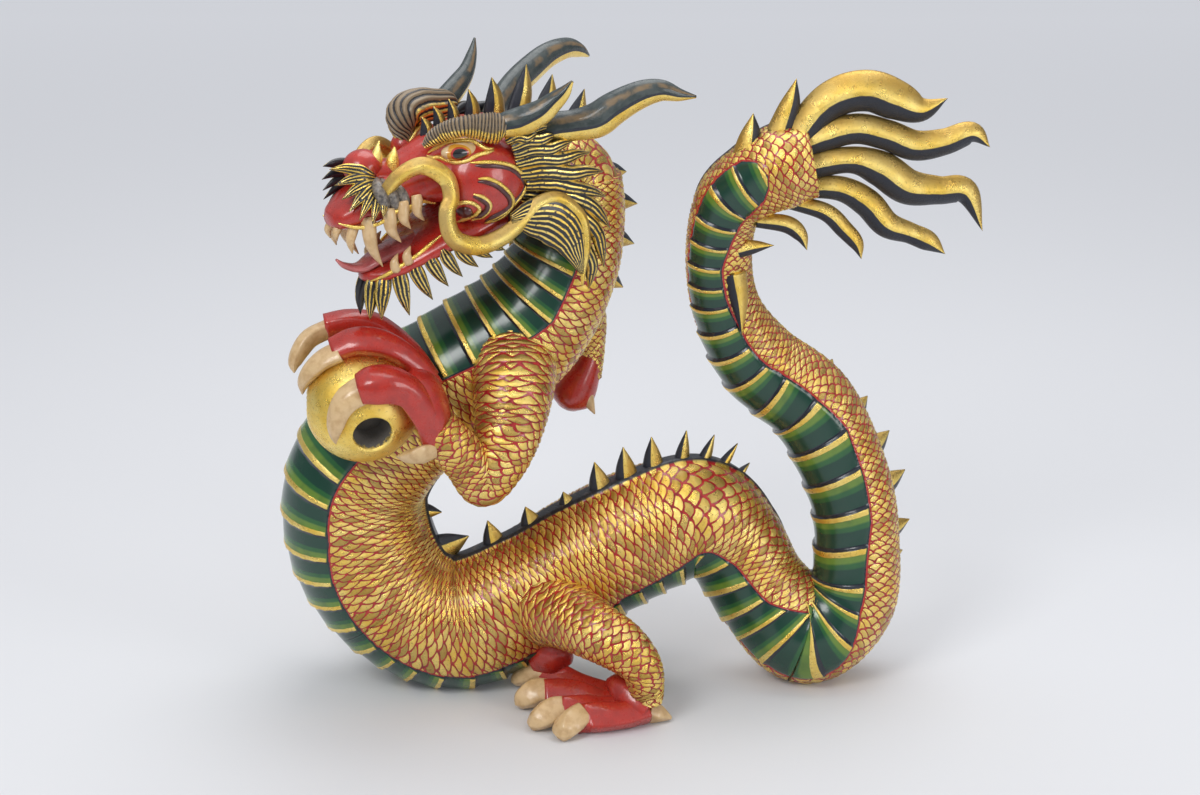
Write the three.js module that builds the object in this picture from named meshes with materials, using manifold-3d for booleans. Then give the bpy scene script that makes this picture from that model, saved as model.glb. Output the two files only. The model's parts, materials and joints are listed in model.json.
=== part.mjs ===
// A carved, painted and gilded wooden dragon: a scaled body in an S, the head turned over the shoulder,
// a bored ball in the near claw, and a tail that ends in a flame of curling fronds.
// Millimetres, +Z up. The camera side is -Y, the head points to -X. The origin is the middle of the
// footprint.
import * as THREE from "three";
import { mergeVertices } from "three/addons/utils/BufferGeometryUtils.js";
import Module from "manifold-3d";

const wasm = await Module();
wasm.setup();

// Driving dimensions
const FOOTPRINT_CENTRE = [15.6, 0.81]; // middle of the dragon in the numbers below
const HEAD = { at: [-70, -20, 304], turn: THREE.MathUtils.degToRad(30) };
const BALL = { at: [-128, -55, 188], radius: 31 };
const BORES = [ // the way that each bore of the ball faces, and its radius
  { way: [0.26, -0.92, -0.28], radius: 10 },
  { way: [-1, -0.05, 0], radius: 9 },
];
const BORE_DEPTH = 18;
const CLAW_LEAN = THREE.MathUtils.degToRad(18); // the plane that the claw is measured on leans back by this
const SPIKE = { lean: 0.3, thick: 8, sunk: 3 }; // the tip lies back by this share of the height
const BODY_SIDES = 12;
const FLOOR_BLOCK = [600, 400, 100]; // what is taken away below the footprint

// The body from the nape to the end of the tail: centre, radius, and the way that the ridge of the back faces
const BODY = [
  [-15, 14, 298, 27, 1.0, 0.8, 0.3],
  [-14, 14, 276, 28, 1.0, 0.7, 0.0],
  [-21, 12, 246, 31, 1.0, 0.6, -0.3],
  [-42, 10, 214, 36, 0.8, 0.6, -0.6],
  [-77, 8, 186, 39, 0.6, 0.5, -0.9],
  [-116, 8, 157, 40, 0.7, 0.3, -0.7],
  [-139, 8, 121, 40, 1.0, 0.1, 0.0],
  [-136, 8, 81, 41, 1.0, 0.0, 0.6],
  [-114, 8, 48, 39, 0.6, 0.0, 1.0],
  [-80, 8, 36, 39, 0.1, 0.0, 1.0],
  [-40, 10, 54, 37, -0.2, -0.1, 1.0],
  [-5, 12, 74, 38, -0.35, -0.2, 1.0],
  [29, 14, 91, 37, -0.2, -0.2, 1.0],
  [56, 16, 97, 34, 0.3, 0.1, 1.0],
  [77, 18, 79, 30, 0.9, 0.6, 0.6],
  [94, 14, 52, 28.5, 0.5, 0.9, 0.4],
  [119, 10, 29.5, 31.5, 0.0, 1.0, 0.0],
  [144, 12, 47, 27, 0.5, 0.8, -0.3],
  [148, 16, 82, 24.5, 0.8, 0.6, -0.1],
  [142, 20, 118, 24.5, 0.8, 0.6, 0.1],
  [121, 24, 161, 25.5, 0.6, 0.8, 0.3],
  [91, 24, 187, 24, 0.3, 0.9, 0.3],
  [72, 20, 218, 19.5, -0.2, 1.0, 0.0],
  [66, 14, 251, 18.5, -0.5, 0.9, 0.0],
  [70, 8, 282, 19.0, -0.7, 0.7, 0.4],
  [84, 4, 297, 21, -0.4, 0.7, 0.8],
  [101, 2, 306, 23, -0.1, 0.6, 1.0],
  [116, 2, 309, 20, 0.0, 0.5, 1.0],
];
const VALLEY = 16; // the station where the body turns up into the tail

// Spikes on the ridge of the back: distance along the back, height, length at the root
const SPIKES = [
  [3, 10, 10], [17, 15, 11], [33, 14, 11], [51, 13, 11], [72, 11, 10], [94, 10, 10], [118, 9, 9], [142, 8, 9],
  [166, 7, 8], [190, 6, 8], [251, 9, 9], [298, 17, 16], [386, 14, 12], [412, 11, 12], [434, 8, 10],
  [454, 17, 12],
  [467, 19, 12], [481, 18, 11], [490, 17, 8], [495, 15, 7], [499, 14, 6], [504, 8, 5], [627, 14, 12],
  [643, 16, 12],
  [660, 17, 13], [684, 17, 13], [704, 16, 13], [725, 14, 12], [748, 11, 11], [772, 9, 10], [798, 8, 9],
  [824, 8, 9],
  [858, 6, 8], [880, 6, 8],
];

// Vector helpers on plain arrays
const add = (a, b, k = 1) => a.map((value, i) => value + k * b[i]);
const dot = (a, b) => a[0] * b[0] + a[1] * b[1] + a[2] * b[2];
const cross = (a, b) => [a[1] * b[2] - a[2] * b[1], a[2] * b[0] - a[0] * b[2], a[0] * b[1] - a[1] * b[0]];
const unit = (a) => a.map((value) => value / Math.hypot(...a));
const upright = (hint, tangent) => unit(add(hint, tangent, -dot(hint, tangent)));

// A smooth run through rows of numbers: a Catmull-Rom curve, `steps` samples from each row to the next
function smoothRows(rows, steps) {
  const last = rows.length - 1;
  const before = rows[0].map((value, i) => 2 * value - rows[1][i]);
  const after = rows[last].map((value, i) => 2 * value - rows[last - 1][i]);
  const all = [before, ...rows, after];
  const out = [];
  for (let k = 0; k < last; k++) {
    const [a, b, c, d] = all.slice(k, k + 4);
    for (let s = 0; s < steps; s++) {
      const t = s / steps;
      out.push(b.map((_, i) => 0.5 * (2 * b[i] + (c[i] - a[i]) * t
        + (2 * a[i] - 5 * b[i] + 4 * c[i] - d[i]) * t * t
        + (3 * b[i] - a[i] - 3 * c[i] + d[i]) * t ** 3)));
    }
  }
  out.push(rows[last]);
  return out;
}

// A closed solid swept through rows of [x, y, z, half width, half height, up x, up y, up z].
// A last row with no width is a point.
function sweep(rows, { sides = 8, steps = 2 } = {}) {
  const path = smoothRows(rows, steps);
  const pointed = rows[rows.length - 1][3] === 0;
  const rings = pointed ? path.slice(0, -1) : path;
  const positions = [];
  const index = [];
  rings.forEach((row, i) => {
    const here = row.slice(0, 3);
    const tangent = unit(add((path[i + 1] ?? row).slice(0, 3), (path[i - 1] ?? row).slice(0, 3), -1));
    const up = upright(row.slice(5, 8), tangent);
    const side = cross(tangent, up);
    for (let s = 0; s < sides; s++) {
      const angle = (2 * Math.PI * s) / sides;
      const point = add(add(here, side, row[3] * Math.sin(angle)), up, row[4] * Math.cos(angle));
      positions.push(...point);
    }
    if (i > 0) {
      for (let s = 0; s < sides; s++) {
        const next = (s + 1) % sides;
        const low = (i - 1) * sides;
        const high = i * sides;
        index.push(low + s, low + next, high + next, low + s, high + next, high + s);
      }
    }
  });
  const first = positions.length / 3;
  positions.push(...rings[0].slice(0, 3), ...path[path.length - 1].slice(0, 3));
  const top = (rings.length - 1) * sides;
  for (let s = 0; s < sides; s++) {
    const next = (s + 1) % sides;
    index.push(first, next, s, first + 1, top + s, top + next);
  }
  const geometry = new THREE.BufferGeometry();
  geometry.setAttribute("position", new THREE.Float32BufferAttribute(positions, 3));
  geometry.setIndex(index);
  return geometry;
}

// A limb of round section: rows of [x, y, z, radius] with one hint for what faces up
const limb = (rows, up = [0, 0, 1], options = {}) =>
  sweep(rows.map(([x, y, z, r]) => [x, y, z, r, r, ...up]), options);

// A leaf-like lock with a ridge along its middle, from a root through a bend to a point
function lock(root, bend, tip, width, thick, up) {
  const rows = [
    [...root, width * 0.6, thick * 0.7, ...up],
    [...bend, width, thick, ...up],
    [...tip, 0, 0, ...up],
  ];
  return sweep(rows, { sides: 4, steps: 2 });
}

// A row of pointed locks side by side, each with a raised middle. There is one more root and valley than
// tips.
function fringe({ roots, valleys, tips, out, thick, ridge }) {
  const count = tips.length;
  const middles = tips.map((tip, i) => {
    const centre = tip.map((value, k) => value * 0.4 + (roots[i][k] + roots[i + 1][k]) * 0.3);
    return add(centre, out, ridge);
  });
  const outline = [...roots, ...valleys, ...tips];
  const points = [...outline, ...outline.map((point) => add(point, out, -thick)), ...middles];
  const root = (i) => i;
  const valley = (i) => count + 1 + i;
  const tip = (i) => 2 * count + 2 + i;
  const below = 3 * count + 2;
  const middle = (i) => 2 * below + i;
  const index = [];
  const wall = (a, b) => index.push(a, a + below, b + below, a, b + below, b);
  for (let i = 0; i < count; i++) {
    const loop = [root(i), root(i + 1), valley(i + 1), tip(i), valley(i)];
    loop.forEach((a, k) => index.push(a, loop[(k + 1) % loop.length], middle(i)));
    const [a, b, c, d, e] = loop.map((value) => value + below);
    index.push(a, e, b, e, c, b, e, d, c);
    wall(root(i), root(i + 1));
    wall(valley(i + 1), tip(i));
    wall(tip(i), valley(i));
  }
  wall(root(count), valley(count));
  wall(valley(0), root(0));
  const geometry = new THREE.BufferGeometry();
  geometry.setAttribute("position", new THREE.Float32BufferAttribute(points.flat(), 3));
  geometry.setIndex(facingOut(points, index));
  return geometry;
}

// A closed mesh that encloses a negative volume is turned inside out, so its triangles are reversed
function facingOut(points, index) {
  let volume = 0;
  for (let i = 0; i < index.length; i += 3) {
    const [a, b, c] = index.slice(i, i + 3).map((k) => points[k]);
    volume += dot(a, cross(b, c));
  }
  return volume > 0 ? index : index.reverse();
}

// An egg of three half sizes, turned by Euler angles
function egg(centre, sizes, turn = [0, 0, 0], segments = [12, 8]) {
  const geometry = new THREE.SphereGeometry(1, ...segments);
  geometry.scale(...sizes);
  geometry.rotateX(turn[0]);
  geometry.rotateY(turn[1]);
  geometry.rotateZ(turn[2]);
  geometry.translate(...centre);
  return geometry;
}

// A three.js geometry as a closed solid, and back again
function solidOf(geometry) {
  const bare = geometry.clone();
  bare.deleteAttribute("normal");
  bare.deleteAttribute("uv");
  const merged = mergeVertices(bare, 1e-4);
  const mesh = new wasm.Mesh({
    numProp: 3,
    vertProperties: new Float32Array(merged.attributes.position.array),
    triVerts: new Uint32Array(merged.index.array),
  });
  return new wasm.Manifold(mesh);
}

function geometryOf(solid) {
  const mesh = solid.getMesh();
  const geometry = new THREE.BufferGeometry();
  geometry.setAttribute("position", new THREE.BufferAttribute(new Float32Array(mesh.vertProperties), 3));
  geometry.setIndex(new THREE.BufferAttribute(new Uint32Array(mesh.triVerts), 1));
  geometry.computeVertexNormals();
  return geometry;
}

// Where carved forms meet they can close off a small hollow: only the outer shell is kept
const largestShell = (solid) => solid.decompose().reduce((a, b) => (b.volume() > a.volume() ? b : a));

const join = (geometries) => geometries.map(solidOf).reduce((sum, next) => sum.add(next));

// The head's own frame: f towards the snout, l towards the near side, u up
const SNOUT = [-Math.cos(HEAD.turn), -Math.sin(HEAD.turn), 0];
const NEAR = [Math.sin(HEAD.turn), -Math.cos(HEAD.turn), 0];
const onHead = (f, l, u) => add(add(add(HEAD.at, SNOUT, f), NEAR, l), [0, 0, 1], u);
const headWay = (f, l, u) => add(onHead(f, l, u), HEAD.at, -1);

// The nape: the neck bends over into the back of the skull
const NAPE = [[-14, 14, 284, 27.5], [-18, 12, 297, 26], [-28, 6, 303, 24.5], [-41, -2, 305, 22],
  [-56, -10, 305, 19]];

// Body, neck and tail
function bodySweep(from, to) {
  const rows = BODY.slice(from, to + 1).map(([x, y, z, r, ...up]) => [x, y, z, r, r, ...up]);
  return sweep(rows, { sides: BODY_SIDES, steps: 2 });
}

// The row of spikes along the ridge, set at their distances along the back
function ridgeSpikes() {
  const samples = 24;
  const path = smoothRows(BODY, samples);
  const spikes = [];
  let walked = 0;
  for (let i = 1; i < path.length && spikes.length < SPIKES.length; i++) {
    const here = path[i].slice(0, 3);
    const step = add(here, path[i - 1].slice(0, 3), -1);
    walked += Math.hypot(...step);
    const [distance, high, long] = SPIKES[spikes.length];
    if (walked < distance) continue;
    const tangent = unit(step);
    const up = upright(path[i].slice(4, 7), tangent);
    const root = add(here, up, path[i][3] - SPIKE.sunk);
    const tip = add(add(root, up, SPIKE.sunk + high), tangent, high * SPIKE.lean);
    spikes.push(sweep([
      [...root, SPIKE.thick / 2, long / 2, ...tangent],
      [...tip, 0, 0, ...tangent],
    ], { sides: 4, steps: 1 }));
  }
  return spikes;
}

// Head: skull, snout, jaw, cheeks, brows, eyes, nose and teeth
const headRows = (rows, side = 1) => rows.map(([f, l, u, r]) => [...onHead(f, side * l, u), r]);
const headLoft = (sections) =>
  sections.map(([f, u, wide, high]) => [...onHead(f, 0, u), wide, high, 0, 0, 1]);

function skull() {
  const sections = [ // f, middle height, half width, half height
    [-50, 0, 22, 22],
    [-38, 4, 30, 28],
    [-18, 8, 34, 27],
    [2, 10, 34, 24],
    [16, 10, 31, 20],
    [30, 6, 26, 13],
    [44, 2, 22, 10],
    [60, -3, 19, 11],
    [74, -8, 16, 9],
    [83, -11, 11, 6],
  ];
  return sweep(headLoft(sections), { sides: 12, steps: 1 });
}

function jaw() {
  const sections = [
    [-20, -14, 30, 14],
    [8, -21, 33, 11],
    [24, -26, 30, 9],
    [38, -33, 25, 7.5],
    [50, -40, 19, 6],
    [59, -44, 12, 4.5],
    [64, -44, 6, 3],
  ];
  return sweep(headLoft(sections), { sides: 10, steps: 1 });
}

function tongue() {
  const sections = [[18, -24, 15, 5], [38, -30, 13, 4], [55, -36, 10, 3], [66, -40, 7, 2.5],
    [76, -37, 3, 1.5]];
  return sweep(headLoft(sections), { sides: 6, steps: 1 });
}

function teeth() {
  const uppers = [ // f, l, height of the root, tip f, tip height, radius
    [79, 4, -14, 81, -23, 2.8],
    [74, 10, -15, 75, -29, 3.2],
    [67, 15, -14, 60, -37, 4.2],
    [57.4, 19.2, -8.6, 51, -24, 3.8],
    [50, 21, -5, 46, -17, 3.4],
    [43, 23, -2, 39, -13, 3.0],
  ];
  const lowers = [[52, 15, -40, 51, -31, 3.2], [46, 18, -36, 45, -27, 3.2]];
  const all = [];
  for (const side of [1, -1]) {
    for (const [f, l, u, tipF, tipU, r] of [...uppers, ...lowers]) {
      const root = onHead(f, side * l, u);
      const middle = onHead(f + 1, side * l, (u + tipU) / 2);
      const rows = [[...root, r], [...middle, r * 0.8], [...onHead(tipF, side * l, tipU), 0]];
      all.push(limb(rows, SNOUT, { sides: 4, steps: 1 }));
    }
  }
  return all;
}

function faceSide(side) {
  const near = [[33, 13, 24.5, 3], [27, 19, 31, 5], [18, 26, 35.5, 5.5], [6, 31, 35, 7.5], [-3, 34.5, 34, 6]];
  const far = [[24, 16, 19, 4], [29, 20, 27, 7], [27.5, 24, 34.5, 10], [18, 27, 37.5, 9.6],
    [4, 30, 36.5, 7], [-5, 33, 34, 4]];
  const brow = side > 0 ? near : far;
  const whisker = [
    [59, 16, 2, 4], [53, 24, 13, 4.6], [42, 29, 18, 4.8], [31, 33, 11, 4.8], [29, 35, 1, 4.8],
    [32, 36, -6, 4.8],
    [31, 36, -16, 4.8], [26, 36, -23, 4.8], [14, 36, -27, 4.8], [1, 37, -24, 4.8], [-11, 37, -17, 4.4],
    [-21, 38, -8, 4], [-32, 39, -6, 4], [-41, 40, -12, 4], [-47, 41, -20, 3.5], [-49, 41, -34, 3],
    [-47, 41, -56, 0],
  ];
  return [
    egg(onHead(2.5, side * 21, 4), [25, 18, 24], [0, 0, HEAD.turn], [12, 8]),
    egg(onHead(8, side * 19, 26), [25, 15, 13], [0, 0, HEAD.turn], [8, 6]),
    egg(onHead(17.5, side * 24, 22), [11, 6.5, 5], [0, 0, HEAD.turn], [8, 6]),
    limb(headRows(brow, side), [0, 0, 1], { sides: 5, steps: 1 }),
    limb(headRows(whisker, side), headWay(0, 1, 0), { sides: 4, steps: 1 }),
    ear(side),
  ];
}

// The ear is a leaf that hangs inside the end of the whisker
function ear(side) {
  const root = onHead(-6, side * 35, -15);
  const bend = onHead(-29, side * 39, -20);
  const tip = onHead(-46, side * 40, -52);
  return lock(root, bend, tip, 13, 5, headWay(0, side, 0));
}

function nose() {
  const bridge = [[60, 0, 8, 10], [44, 0, 8, 9], [28, 0, 14, 12], [16, 0, 20, 14]];
  return [
    egg(onHead(64, 0, 13), [12, 10, 9], [0, 0, HEAD.turn], [10, 7]),
    limb(headRows(bridge), [0, 0, 1], { sides: 8, steps: 1 }),
    limb(headRows([[52, 0, 14, 3.5], [55, 0, 25, 0]]), SNOUT, { sides: 4, steps: 1 }),
    limb(headRows([[42, 0, 13, 3.5], [46, 0, 22, 0]]), SNOUT, { sides: 4, steps: 1 }),
  ];
}

// Horns: two long ones from the back of the skull, two short ones from behind the brows. The far ones stand
// higher.
function horns() {
  const nearLong = [[-26, 25, 26, 9], [-40, 33, 31, 9], [-55, 41, 34, 9.6], [-65, 45, 40.5, 9],
    [-77, 49, 46.5, 7.6],
    [-88.5, 53, 48.6, 5.8], [-97, 56, 46, 3.6], [-106, 59, 44.5, 0]];
  const nearShort = [[3, 31, 34, 6], [-10, 37, 37, 8], [-19.5, 43, 42, 6.9], [-25, 47, 47.5, 5.4],
    [-32, 55, 59.5, 0]];
  const farLong = [[-26, 22, 26, 8], [-40, 32, 36, 9], [-56, 40, 45, 8.5], [-74, 47, 52, 7.5],
    [-90, 52, 54, 6],
    [-101, 56, 52, 4], [-108, 59, 47, 0]];
  const farShort = [[8, 30, 33, 6], [-6, 36, 39, 7], [-18, 42, 46, 6], [-27, 48, 54, 4], [-31, 54, 63, 0]];
  return [
    ...[nearLong, nearShort].map((rows) => limb(headRows(rows), [0, 0, 1], { sides: 5, steps: 1 })),
    ...[farLong, farShort].map((rows) => limb(headRows(rows, -1), [0, 0, 1], { sides: 5, steps: 1 })),
  ];
}

// Crest of spikes from the brow back over the skull and down to the neck
function crest() {
  const spikes = [ // root f and height, tip f and height, half length at the root
    [25, 26, 28, 37, 5], [17, 29, 21, 42, 5], [9, 30, 12, 45, 5], [-2, 31, 0, 49, 6], [-15, 32, -14, 54, 8],
    [-29, 32, -35, 59, 8], [-44, 28, -51, 52, 8], [-60, 16, -71, 42, 9],
  ];
  return spikes.map(([f, u, tipF, tipU, long]) => sweep([
    [...onHead(f, 0, u), 4, long, ...SNOUT],
    [...onHead((f + tipF) / 2 - 1, 0, (u + tipU) / 2), 3.4, long * 0.75, ...SNOUT],
    [...onHead(tipF, 0, tipU), 0, 0, ...SNOUT],
  ], { sides: 4, steps: 1 }));
}

// Mane, beard and moustache: rows of pointed locks
function hair() {
  const mane = [ // root height, valley f and height, tip f and height, from the top lock down
    [30, -40, 31, -45, 25], [24, -42, 22, -53, 17], [17, -46, 13, -61, 6], [10, -48, 2, -63, -8],
    [4, -49, -12, -66, -24], [-2, -49, -27, -66, -40], [-8, -46, -42, -60, -56], [-14, -40, -50, 0, 0],
  ];
  const beard = [ // root f, l and height, valley f and height, tip f and height, from the chin back
    [60, 3, -44, 60, -47, 64, -68], [55, 8, -42, 58, -53, 60, -68], [50, 13, -40, 50, -54, 46, -66],
    [44, 17, -38, 40, -50, 33, -58], [37, 21, -34, 31, -46, 25, -51], [30, 25, -32, 23, -42, 18, -46],
    [23, 28, -31, 16, -38, 10, -41], [15, 31, -30, 8, -35, 3, -36], [8, 33, -29, 2, -32, -3, -32],
    [0, 35, -26, -4, -28, 0, 0],
  ];
  const moustache = [ // valley f, l and height, tip f, l and height, from the top lock down
    [76, 7, 17, 84, 4, 16], [77, 10, 10, 83, 8, 8], [77, 13, 4, 81, 12, 1], [76, 16, -1, 79, 16, -5],
    [73, 19, -4, 75, 20, -9], [69, 21, -6, 69, 23, -11], [64, 22, -5, 63, 25, -8], [60, 22, -1, 0, 0, 0],
  ];
  const rows = [];
  for (const side of [1, -1]) {
    const at = (f, l, u) => onHead(f, side * l, u);
    rows.push(fringe({
      roots: mane.map(([rootU]) => at(-12, 31, rootU * 0.7 + 6)),
      valleys: mane.map(([, f, u]) => at(f, 38, u)),
      tips: mane.slice(0, -1).map(([, , , f, u]) => at(f, 38, u)),
      out: headWay(0, side, 0), thick: 9, ridge: 5,
    }));
    rows.push(fringe({
      roots: beard.map(([f, l, u]) => at(f, l, u + 3)),
      valleys: beard.map(([, l, , f, u]) => at(f, l, u)),
      tips: beard.slice(0, -1).map(([, l, , , , f, u]) => at(f, l, u)),
      out: headWay(0.45, side * 0.9, 0), thick: 5, ridge: 3,
    }));
    rows.push(fringe({
      roots: moustache.map((_, i) => at(62 - i * 0.6, 11, 12 - i * 1.6)),
      valleys: moustache.map(([f, l, u]) => at(f, l, u)),
      tips: moustache.slice(0, -1).map(([, , , f, l, u]) => at(f, l, u)),
      out: headWay(0.3, side * 0.9, 0.3), thick: 7, ridge: 6,
    }));
  }
  rows.push(egg(onHead(-34, 0, 2), [24, 31, 29], [0, 0, HEAD.turn], [10, 7]));
  return rows;
}

// The near arm, its claw and the ball; the far arm is mostly hidden and ends in a closed fist
function nearArm() {
  const arm = [[-49, -8, 201, 26], [-48, -28, 187, 23], [-50, -42, 169, 19], [-56, -50, 153, 16],
    [-64, -53, 142, 13],
    [-72, -58, 156, 13], [-81, -63, 169, 13], [-88, -64, 178, 12]];
  return limb(arm, [0, 0, 1], { sides: 10, steps: 1 });
}

// A place measured from the ball's middle: to the right, up along the leaning plane, and towards the near
// side
const CLAW_UP = [0, Math.sin(CLAW_LEAN), Math.cos(CLAW_LEAN)];
const CLAW_NEAR = [0, -Math.cos(CLAW_LEAN), Math.sin(CLAW_LEAN)];
const fromBall = (right, up, near) => add(add([right, 0, 0], CLAW_UP, up), CLAW_NEAR, near);

// A finger or nail through rows of [right, up, near, half width, half thickness]; its back faces away from
// the ball
const onBall = (rows, sides) => sweep(rows.map(([right, up, near, wide, thick]) => {
  const way = fromBall(right, up, near);
  return [...add(BALL.at, way), wide, thick, ...way];
}), { sides, steps: 1 });

function claw() {
  const fingers = [
    [[-21, 42, -9, 8.5, 7.5], [-9, 44, -10, 9, 8], [3, 43, -11, 9, 8], [14, 37, -11, 8.5, 7.5],
      [26, 27, -8, 7, 6.5], [36, 14, -4, 6, 6]],
    [[-14.5, 28.5, 13, 9.5, 7.5], [-3, 33, 13, 11, 8.5], [9, 32.5, 12, 11, 8.5], [20, 28, 10, 9, 7.5],
      [30, 20, 6, 7, 6.5], [40, 9, 3, 5, 5]],
    [[1, 8, 33, 8.5, 5], [8, 10, 33, 10.8, 7], [17, 10.5, 30, 11, 8], [26, 7, 25, 10, 7.5],
      [32, 0, 20, 10.5, 7.5], [36, -9, 15, 9.5, 7], [38, -22, 9, 6.5, 5.5]],
  ];
  const nails = [
    [[-19, 41, -9, 7, 5.5], [-28.6, 36, -6, 7.5, 5.5], [-34, 29, -4, 6.5, 5], [-37, 17, -2, 0, 0]],
    [[-11, 28, 15, 9.5, 6], [-20, 23.5, 15, 9, 5.5], [-26.5, 17.5, 13, 7, 5], [-31.5, 5.4, 8, 0, 0]],
    [[3.5, 8, 32.5, 8, 4], [-4.3, 3.2, 33, 7.4, 4], [-9.2, -3.2, 32, 6.4, 3.6], [-11.9, -11.3, 29, 5, 3],
      [-12, -21, 23.3, 0, 0]],
    [[39, -25, 10, 5, 4], [32, -27, 14, 7.5, 4.5], [25, -28, 13, 5, 3.5], [19, -28, 11, 0, 0]],
  ];
  const hand = [[24, 12, 16, 9, 7], [33, 6, 12, 14, 9.5], [38, -6, 8, 14, 9.5], [40, -18, 5, 10, 8]];
  return [
    ...fingers.map((rows) => onBall(rows, 6)),
    ...nails.map((rows) => onBall(rows, 4)),
    onBall(hand, 6),
  ];
}

// The bores of the ball, as pegs to be cut away
function bores() {
  const overshoot = 6;
  return BORES.map(({ way, radius }) => {
    const peg = new THREE.CylinderGeometry(radius, radius, BORE_DEPTH + overshoot, 12);
    const facing = new THREE.Vector3(...way).normalize();
    peg.translate(0, BALL.radius - (BORE_DEPTH - overshoot) / 2, 0);
    peg.applyQuaternion(new THREE.Quaternion().setFromUnitVectors(new THREE.Vector3(0, 1, 0), facing));
    peg.translate(...BALL.at);
    return peg;
  });
}

function farArm() {
  const arm = [[-20, 22, 226, 22], [-8, 40, 210, 12], [-5, 44, 190, 8], [-6, 44, 172, 7]];
  return [
    limb(arm, [0, 1, 0], { sides: 8, steps: 1 }),
    egg([-13, 42, 168], [13, 11, 15], [0, 0.3, 0], [8, 6]),
    limb([[-8, 38, 162, 5], [-3, 34, 153, 0]], [1, 0, 0], { sides: 5, steps: 1 }),
  ];
}

// Hind legs: the near one steps forward on a broad foot with four ridged toes and blunt nails, the far one
// stands
// behind the belly. Toes and nails are rows of [x, y, z, half width, half height].
const uprightSweep = (rows, sides) => sweep(rows.map((row) => [...row, 0, 0, 1]), { sides, steps: 1 });

function nearLeg() {
  const leg = [[-34, -4, 52, 26], [-20, -26, 54, 20], [-4, -44, 52, 17], [12, -54, 46, 15], [23, -57, 35, 12],
    [26, -55, 20, 10], [27, -56, 12, 8]];
  const webs = [ // between the first toe and the thigh, and over the ankle
    [[-36, -8, 18, 8, 11], [-28, -13, 23, 9, 13], [-22, -16, 24, 8, 11], [-16, -19, 23, 2, 3]],
    [[4, -42, 19, 2, 3], [11, -46, 18, 8, 9], [20, -52, 12, 11, 11], [28, -56, 8, 11, 9]],
  ];
  const toes = [
    [[22, -50, 10, 8, 8], [6, -36, 9, 9, 7.5], [-10, -25, 9, 9, 8], [-24, -15, 11, 9, 9],
      [-33, -10, 12, 8, 8.5]],
    [[22, -52, 9, 8, 8], [4, -44, 7.5, 8.5, 7.5], [-10, -36, 8, 9.5, 9], [-22, -34, 8.5, 10, 9.5],
      [-32, -35, 9, 9, 9]],
    [[22, -54, 9, 8, 8], [4, -52, 7, 8.5, 8], [-8, -55, 8, 9, 9.5], [-16, -57, 8.5, 9.5, 9.5],
      [-22, -58, 9, 9, 9]],
    [[26, -56, 9, 9, 9], [14, -60, 7, 10, 9], [2, -62, 6.5, 12, 10], [-8, -64, 6.5, 11, 10],
      [-13, -67, 7.5, 9, 9]],
  ];
  const nails = [
    [[-29, -12, 12, 8, 8], [-36, -9, 11, 8.5, 8.5], [-43, -8, 8, 8, 7.5], [-49, -8, 5, 4, 4]],
    [[-28, -34, 9, 9, 8.5], [-36, -34, 9, 10, 9], [-42, -36, 7, 9, 7.5], [-47, -38, 5, 5, 5]],
    [[-19, -57, 9, 9, 8.5], [-27, -59, 8.5, 10, 9], [-33, -63, 6.5, 9, 7.3], [-38, -67, 4.5, 5, 5]],
    [[-11, -65, 9, 8.5, 8.5], [-16, -71, 8, 9, 8.5], [-19, -76, 6, 8, 6.8], [-20, -81, 4.2, 5, 4.5]],
    [[27, -55, 7, 6, 7], [33, -54, 5, 5.5, 5.5], [40, -53, 2, 0, 0]],
  ];
  return [
    limb(leg, [0, 0, 1], { sides: 10, steps: 1 }),
    ...webs.map((rows) => uprightSweep(rows, 6)),
    ...toes.map((rows) => uprightSweep(rows, 4)),
    ...nails.map((rows) => uprightSweep(rows, 4)),
  ];
}

function farLeg() {
  const leg = [[-44, 26, 50, 26], [-50, 50, 46, 20], [-56, 66, 34, 14], [-50, 72, 18, 10], [-46, 72, 8, 9]];
  const ends = [[-94, 52], [-98, 68], [-90, 84]];
  const ankle = [-46, 72];
  const toes = ends.map(([x, y]) => [
    [...ankle, 9, 10, 10],
    [(x + ankle[0]) / 2, (y + ankle[1]) / 2, 9, 10, 9],
    [x + 8, y, 8.5, 9, 8.5],
    [x, y, 3.5, 4, 4],
  ]);
  const heel = [[-42, 72, 8, 6, 6], [-34, 74, 3, 3, 3]];
  return [
    limb(leg, [0, 0, 1], { sides: 8, steps: 1 }),
    ...toes.map((rows) => uprightSweep(rows, 4)),
    uprightSweep(heel, 4),
  ];
}

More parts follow.
